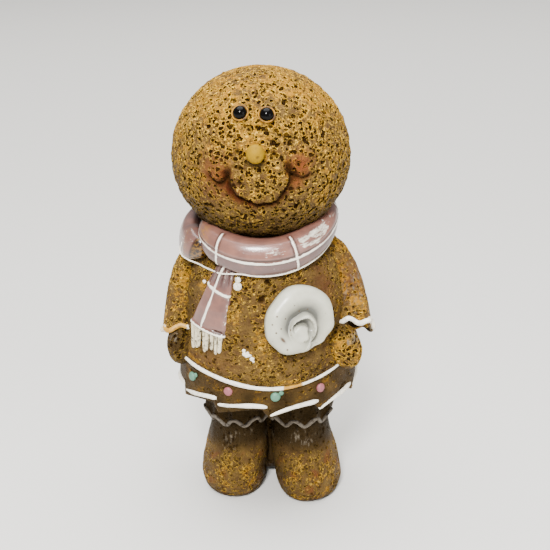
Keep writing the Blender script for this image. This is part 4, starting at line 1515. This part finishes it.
class FIGURINE_OT_tails(bpy.types.Operator):
    """Hang the two ends of the scarf, with pleats, stripes and a fringe"""

    bl_idname = "figurine.tails"
    bl_label = "Scarf ends"

    def execute(self, context):
        sizes = context.scene.figurine_sizes
        half = sizes.scarf_stripe / MM * 1.15
        count = sizes.fringe_count
        for name, form in (("front", TAIL_FRONT), ("back", TAIL_BACK)):
            t = np.concatenate((np.linspace(0, 1, CLOTH_ROWS), np.ones(FRINGE_ROWS)))[:, None]
            u = np.linspace(-1, 1, 76)[None]
            # The cloth stops a little below its last stripe, which slants, and only the strands go on.
            fringe = np.concatenate((np.zeros(CLOTH_ROWS), np.linspace(0, 1, FRINGE_ROWS + 1)[1:]))[:, None]
            fringe = fringe * (0.24 + 0.17 * u)
            az, z = tail_place(form, u, t, fringe)
            base = tail_surface(az, z)
            top = 1 - ramp(t, 0.22, 0.42)
            comb = np.cos(np.pi * 4 * (u + 0.06 * np.sin(9 * t)))
            thick = TAIL_THICKNESS - 0.5 * u * u + 0.38 * comb * top - 0.55 * fringe - 0.9 * np.abs(u) ** 14
            wide = np.radians(form["half"][0] + (form["half"][1] - form["half"][0]) * t**0.8) * base
            ragged = 1 + 0.4 * np.sin(17 * t + 5 * u) * np.sin(7 * t + 1)
            long_stripe = (
                bump((u - (-0.06 - 0.08 * t)) * wide / (half * ragged)) * (1 - ramp(fringe, 0.05, 0.12))
            )
            level = form["top"][1] - 7.4 - 1.35 * u
            upper = bump((z - level) / half)
            level_low = form["bottom"][1] - 1.45 - 0.9 * u
            lower = bump((z - level_low) / (half * 1.15)) * ramp(t, 0.8, 0.9)
            panel = ramp(level - z, 0.3, 0.8) * ramp(z - level_low, 0.3, 0.9)
            low = ramp(level_low - z, 0.1, 0.6)
            thick = (
                thick + 0.25 * np.maximum(np.maximum(long_stripe, upper), lower) - 0.18 * panel - 0.5 * low
            )
            slot = (
                bump((z - level_low - 1.05) / 0.28) * ramp(u, 0.35, 0.5) * (1 - ramp(u, 0.8, 0.9))
                * (name == "front")
            )
            thick = thick - 0.5 * slot
            front = around(az, base - TAIL_SINK + thick, z)
            under = around(az, base - TAIL_SINK, z)
            rows = np.concatenate((front, under[:, ::-1]), axis=1)
            sided = np.concatenate((np.ones_like(u + t), np.zeros_like(u + t)), axis=1)

            def both(values):
                values = np.broadcast_to(values, az.shape)
                return np.concatenate((values, values[:, ::-1]), axis=1) * sided

            stripe = both(np.maximum(np.maximum(long_stripe * (1 - 0.5 * low), upper), lower))
            edge = ramp(u, 0.78, 0.9) * (1 - ramp(u, 0.95, 1.0)) * panel * 0.5
            brush = both(np.clip((0.16 + 0.24 * ramp(comb, 0.1, 0.9)) * top + 0.9 * edge + 0.45 * low, 0, 1))
            fold = both(np.maximum(np.maximum(0.35 * ramp(-comb, 0.3, 1.0) * top, 0.95 * slot),
                0.7 * ramp(fringe, 0.04, 0.25)))
            lilac = both(0.25 + 0.6 * top)
            marks = {
                "stripe": stripe, "brush": brush, "fold": fold, "lilac": lilac,
                "run": both(0.1 + 0.2 * t), "over": both(0.5 + 0.5 * u + 0 * t),
            }
            cloth = shell_object(f"scarf_tail_{name}_cloth", rows, marks, FINISHES["varnished_pink_scarf"])
            settle(cloth, f"scarf_tail_{name}", f"scarf_tail_{name}")

            paths, girths = [], []
            for k in range(count):
                spread = (k + 0.5) / count * 2 - 1
                tip = 1.0 - 0.07 * (k % 3)
                down = np.linspace(max(0.05, 0.15 + 0.18 * spread), tip, STRAND_POINTS)
                drift = spread * 0.93 + 0.07 * math.sin(2.6 * k) * down
                az, z = tail_place(form, drift, np.ones(STRAND_POINTS), down)
                paths.append(around(az, tail_surface(az, z) - TAIL_SINK + 1.5 - 0.45 * down, z))
                girth = sizes.fringe_strand / MM * (0.84 + 0.14 * math.sin(1.9 * k))
                girths.append(girth * (0.72 + 0.28 * (1 - down)) * np.clip((tip - down) * 14 + 0.45, 0.3, 1))
            strands = lines_object(f"scarf_fringe_{name}", paths, girths)
            settle(piped(strands, "worn_fringe_paint", 0.35, 0.5, 10, seed=3.0), f"scarf_tail_{name}")
        return {"FINISHED"}


# Swirl sweet.


class FIGURINE_OT_sweet(bpy.types.Operator):
    """Build the white swirl sweet with its spiral groove"""

    bl_idname = "figurine.sweet"
    bl_label = "Swirl sweet"

    def execute(self, context):
        depth = context.scene.figurine_sizes.swirl_depth / MM
        azimuth, height = SWEET_PLACE
        place = around(azimuth, SWEET_STANDOFF, height)
        lean = math.radians(SWEET_LEAN)
        out = unit(place * (1, 1, 0)) * math.cos(lean) + np.array((0, 0, math.sin(lean)))
        frame_of = turned_to(out, place)
        turns = np.arange(300) * 1.2
        outline = eased(SWEET_OUTLINE, turns)
        share = np.concatenate((np.linspace(0.02, 0.9, 66), np.linspace(0.915, 0.995, 10)))[:, None]
        reach = share * outline[None]
        spiral_turn = np.linspace(SWEET_GROOVE[0][0], 800, 420)
        past, radius = SWEET_GROOVE[-1]
        run_out = radius + (spiral_turn - past) * 0.16
        spiral = np.where(spiral_turn <= past, eased(SWEET_GROOVE, spiral_turn), run_out)
        a = -np.radians(spiral_turn)
        line = np.stack((spiral * np.cos(a), spiral * np.sin(a)), -1)
        b = -np.radians(turns)
        x, y = reach * np.cos(b)[None], reach * np.sin(b)[None]
        flat = np.stack((x.ravel(), y.ravel(), 0 * x.ravel()), -1)
        away, which = nearest(flat, np.column_stack((line, np.zeros(len(line)))))
        away, which = away.reshape(x.shape), which.reshape(x.shape)
        fade = ramp(which / len(line), 0.0, 0.16) * (1 - 0.7 * ramp(which / len(line), 0.93, 1.0))
        # Below the hook of the swirl the two coils run into each other, without a groove.
        fade = fade * (1 - 0.9 * bump((spiral_turn[which] - SWEET_MERGE[0]) / SWEET_MERGE[1]))
        # The coil outside the groove slopes down to it, and the one inside ends in a crisp edge.
        outside = ramp(reach - spiral[which], -0.25, 0.25)
        edge = 1 - ramp(share, 0.86, 0.99)
        dome = -0.6 + 3.75 * np.sqrt(np.clip(1 - share**4.0, 0, 1)) - 0.5 * bump(reach / 4.2)
        slope = bump(away / (0.55 + 2.35 * outside))
        cut = fade * (0.35 + 0.65 * edge) * depth * (0.87 * slope + 0.13 * bump(away / 0.45))
        level = dome - cut
        face = np.stack((x, y, level + 0.05 * wander(np.stack((x, y, 0 * x), -1), 5.0)), -1)
        rim = np.stack((outline * np.cos(b), outline * np.sin(b)), -1)
        sides = [np.column_stack((rim * s, np.full(len(turns), h))) for s, h in SWEET_SIDES]
        rows = moved(frame_of, np.concatenate((face, np.array(sides))))
        hollow = np.zeros(rows.shape[:2])
        crescent = outside * (0.42 * bump(away / 1.0) + 0.8 * bump((away - 0.5) / 2.3))
        crescent = crescent * (0.3 + 0.7 * ramp(y - 0.5 * x, -3, 3))
        middle = 0.20 * bump((np.hypot(x + 1.2, y - 0.6) - 1.5) / 0.9) * ramp(-away, -1.6, -0.5)
        shade = fade * (0.2 * bump(away / 0.5) + crescent + 0.22 * bump(away / 1.3)) * (0.4 + 0.6 * edge)
        hollow[: len(face)] = np.clip(shade + middle, 0, 1)
        hollow[len(face) :] = 0.3
        speckle, scratch = np.zeros_like(hollow), np.zeros_like(hollow)
        at_left = 0.46 * bump((x + 6.5) / 3.5) * bump((y - 0.5) / 5.0)
        speckle[: len(face)] = 0.14 + at_left + 0.25 * bump((x + 3) / 4) * ramp(-y, 3, 6)
        lean_x, lean_y = 0.8 * (x + 5.8) + 0.6 * (y + 1.8), 0.8 * (y + 1.8) - 0.6 * (x + 5.8)
        scratch[: len(face)] = np.clip(1.7 * bump(lean_x / 0.36) * bump(lean_y / 0.85), 0, 1)
        marks = {"hollow": hollow, "speckle": speckle, "scratch": scratch}
        sweet = shell_object("swirl_sweet_glaze", rows, marks, FINISHES["ivory_enamel_sweet"])
        settle(sweet, "swirl_sweet", "swirl_sweet")
        return {"FINISHED"}


# Stage.


def soft_light(name, place, target, size, watts):
    """A round area light that looks at its target."""
    lamp = bpy.data.lights.new(name, "AREA")
    lamp.shape, lamp.size, lamp.energy = "DISK", size, watts
    obj = bpy.data.objects.new(name, lamp)
    obj.location = place
    obj.rotation_euler = (Vector(target) - Vector(place)).to_track_quat("-Z", "Y").to_euler()
    bpy.context.scene.collection.objects.link(obj)


class FIGURINE_OT_stage(bpy.types.Operator):
    """Set the pale floor, the soft lights and the camera"""

    bl_idname = "figurine.stage"
    bl_label = "Stage"

    def execute(self, context):
        scene = context.scene
        bm = bmesh.new()
        bmesh.ops.create_grid(bm, x_segments=24, y_segments=24, size=FLOOR_REACH)
        mesh = bpy.data.meshes.new("floor")
        bm.to_mesh(mesh)
        bm.free()
        mesh.materials.append(FINISHES["pale_floor_board"])
        floor = bpy.data.objects.new("floor", mesh)
        scene.collection.objects.link(floor)

        world = bpy.data.worlds.new("soft_room")
        world.use_nodes = True
        background = world.node_tree.nodes["Background"]
        background.inputs["Color"].default_value = ROOM_COLOUR
        background.inputs["Strength"].default_value = ROOM_STRENGTH
        scene.world = world
        for light in LIGHTS:
            soft_light(*light)

        yaw, pitch, roll = (math.radians(x) for x in CAMERA_TURN)
        ahead = Vector((math.sin(yaw) * math.cos(pitch), math.cos(yaw) * math.cos(pitch), -math.sin(pitch)))
        side = Vector((math.cos(yaw), -math.sin(yaw), 0))
        up = side.cross(ahead)
        right = math.cos(roll) * side + math.sin(roll) * up
        top = -math.sin(roll) * side + math.cos(roll) * up
        data = bpy.data.cameras.new("camera")
        data.sensor_width = SENSOR_WIDTH
        data.lens = FOCAL_PIXELS / PHOTO_PIXELS * SENSOR_WIDTH
        data.clip_start, data.clip_end = 0.01, 20
        camera = bpy.data.objects.new("camera", data)
        turn = Matrix((right, top, -ahead)).transposed().to_4x4()
        place = (Vector(CAMERA_PLACE) + Vector((*FIGURE_SHIFT, 0.0))) * MM
        camera.matrix_world = Matrix.Translation(place) @ turn
        scene.collection.objects.link(camera)
        scene.camera = camera
        return {"FINISHED"}


OPERATORS = (
    FIGURINE_OT_head,
    FIGURINE_OT_eyes,
    FIGURINE_OT_dress,
    FIGURINE_OT_arms,
    FIGURINE_OT_legs,
    FIGURINE_OT_icing,
    FIGURINE_OT_sugar,
    FIGURINE_OT_scarf,
    FIGURINE_OT_tails,
    FIGURINE_OT_sweet,
    FIGURINE_OT_stage,
)


class FIGURINE_PT_panel(bpy.types.Panel):
    """Sizes, colours and building steps of the figurine"""

    bl_label = "Gingerbread Figurine"
    bl_idname = "FIGURINE_PT_panel"
    bl_space_type = "VIEW_3D"
    bl_region_type = "UI"
    bl_category = "Figurine"

    def draw(self, context):
        layout = self.layout
        for group in (context.scene.figurine_sizes, context.scene.figurine_colours):
            box = layout.box()
            for name in group.__annotations__:
                box.prop(group, name)
        column = layout.column()
        for operator in OPERATORS:
            column.operator(operator.bl_idname)


CLASSES = (FIGURINE_PG_sizes, FIGURINE_PG_colours, *OPERATORS, FIGURINE_PT_panel)


def register():
    for item in CLASSES:
        bpy.utils.register_class(item)
    bpy.types.Scene.figurine_sizes = PointerProperty(type=FIGURINE_PG_sizes)
    bpy.types.Scene.figurine_colours = PointerProperty(type=FIGURINE_PG_colours)


def unregister():
    del bpy.types.Scene.figurine_colours
    del bpy.types.Scene.figurine_sizes
    for item in reversed(CLASSES):
        bpy.utils.unregister_class(item)


def main():
    register()
    prepare()
    bpy.ops.figurine.head()
    bpy.ops.figurine.eyes()
    bpy.ops.figurine.dress()
    bpy.ops.figurine.arms()
    bpy.ops.figurine.legs()
    bpy.ops.figurine.icing()
    bpy.ops.figurine.sugar()
    bpy.ops.figurine.scarf()
    bpy.ops.figurine.tails()
    bpy.ops.figurine.sweet()
    bpy.ops.figurine.stage()
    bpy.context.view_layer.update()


if __name__ == "__main__":
    main()
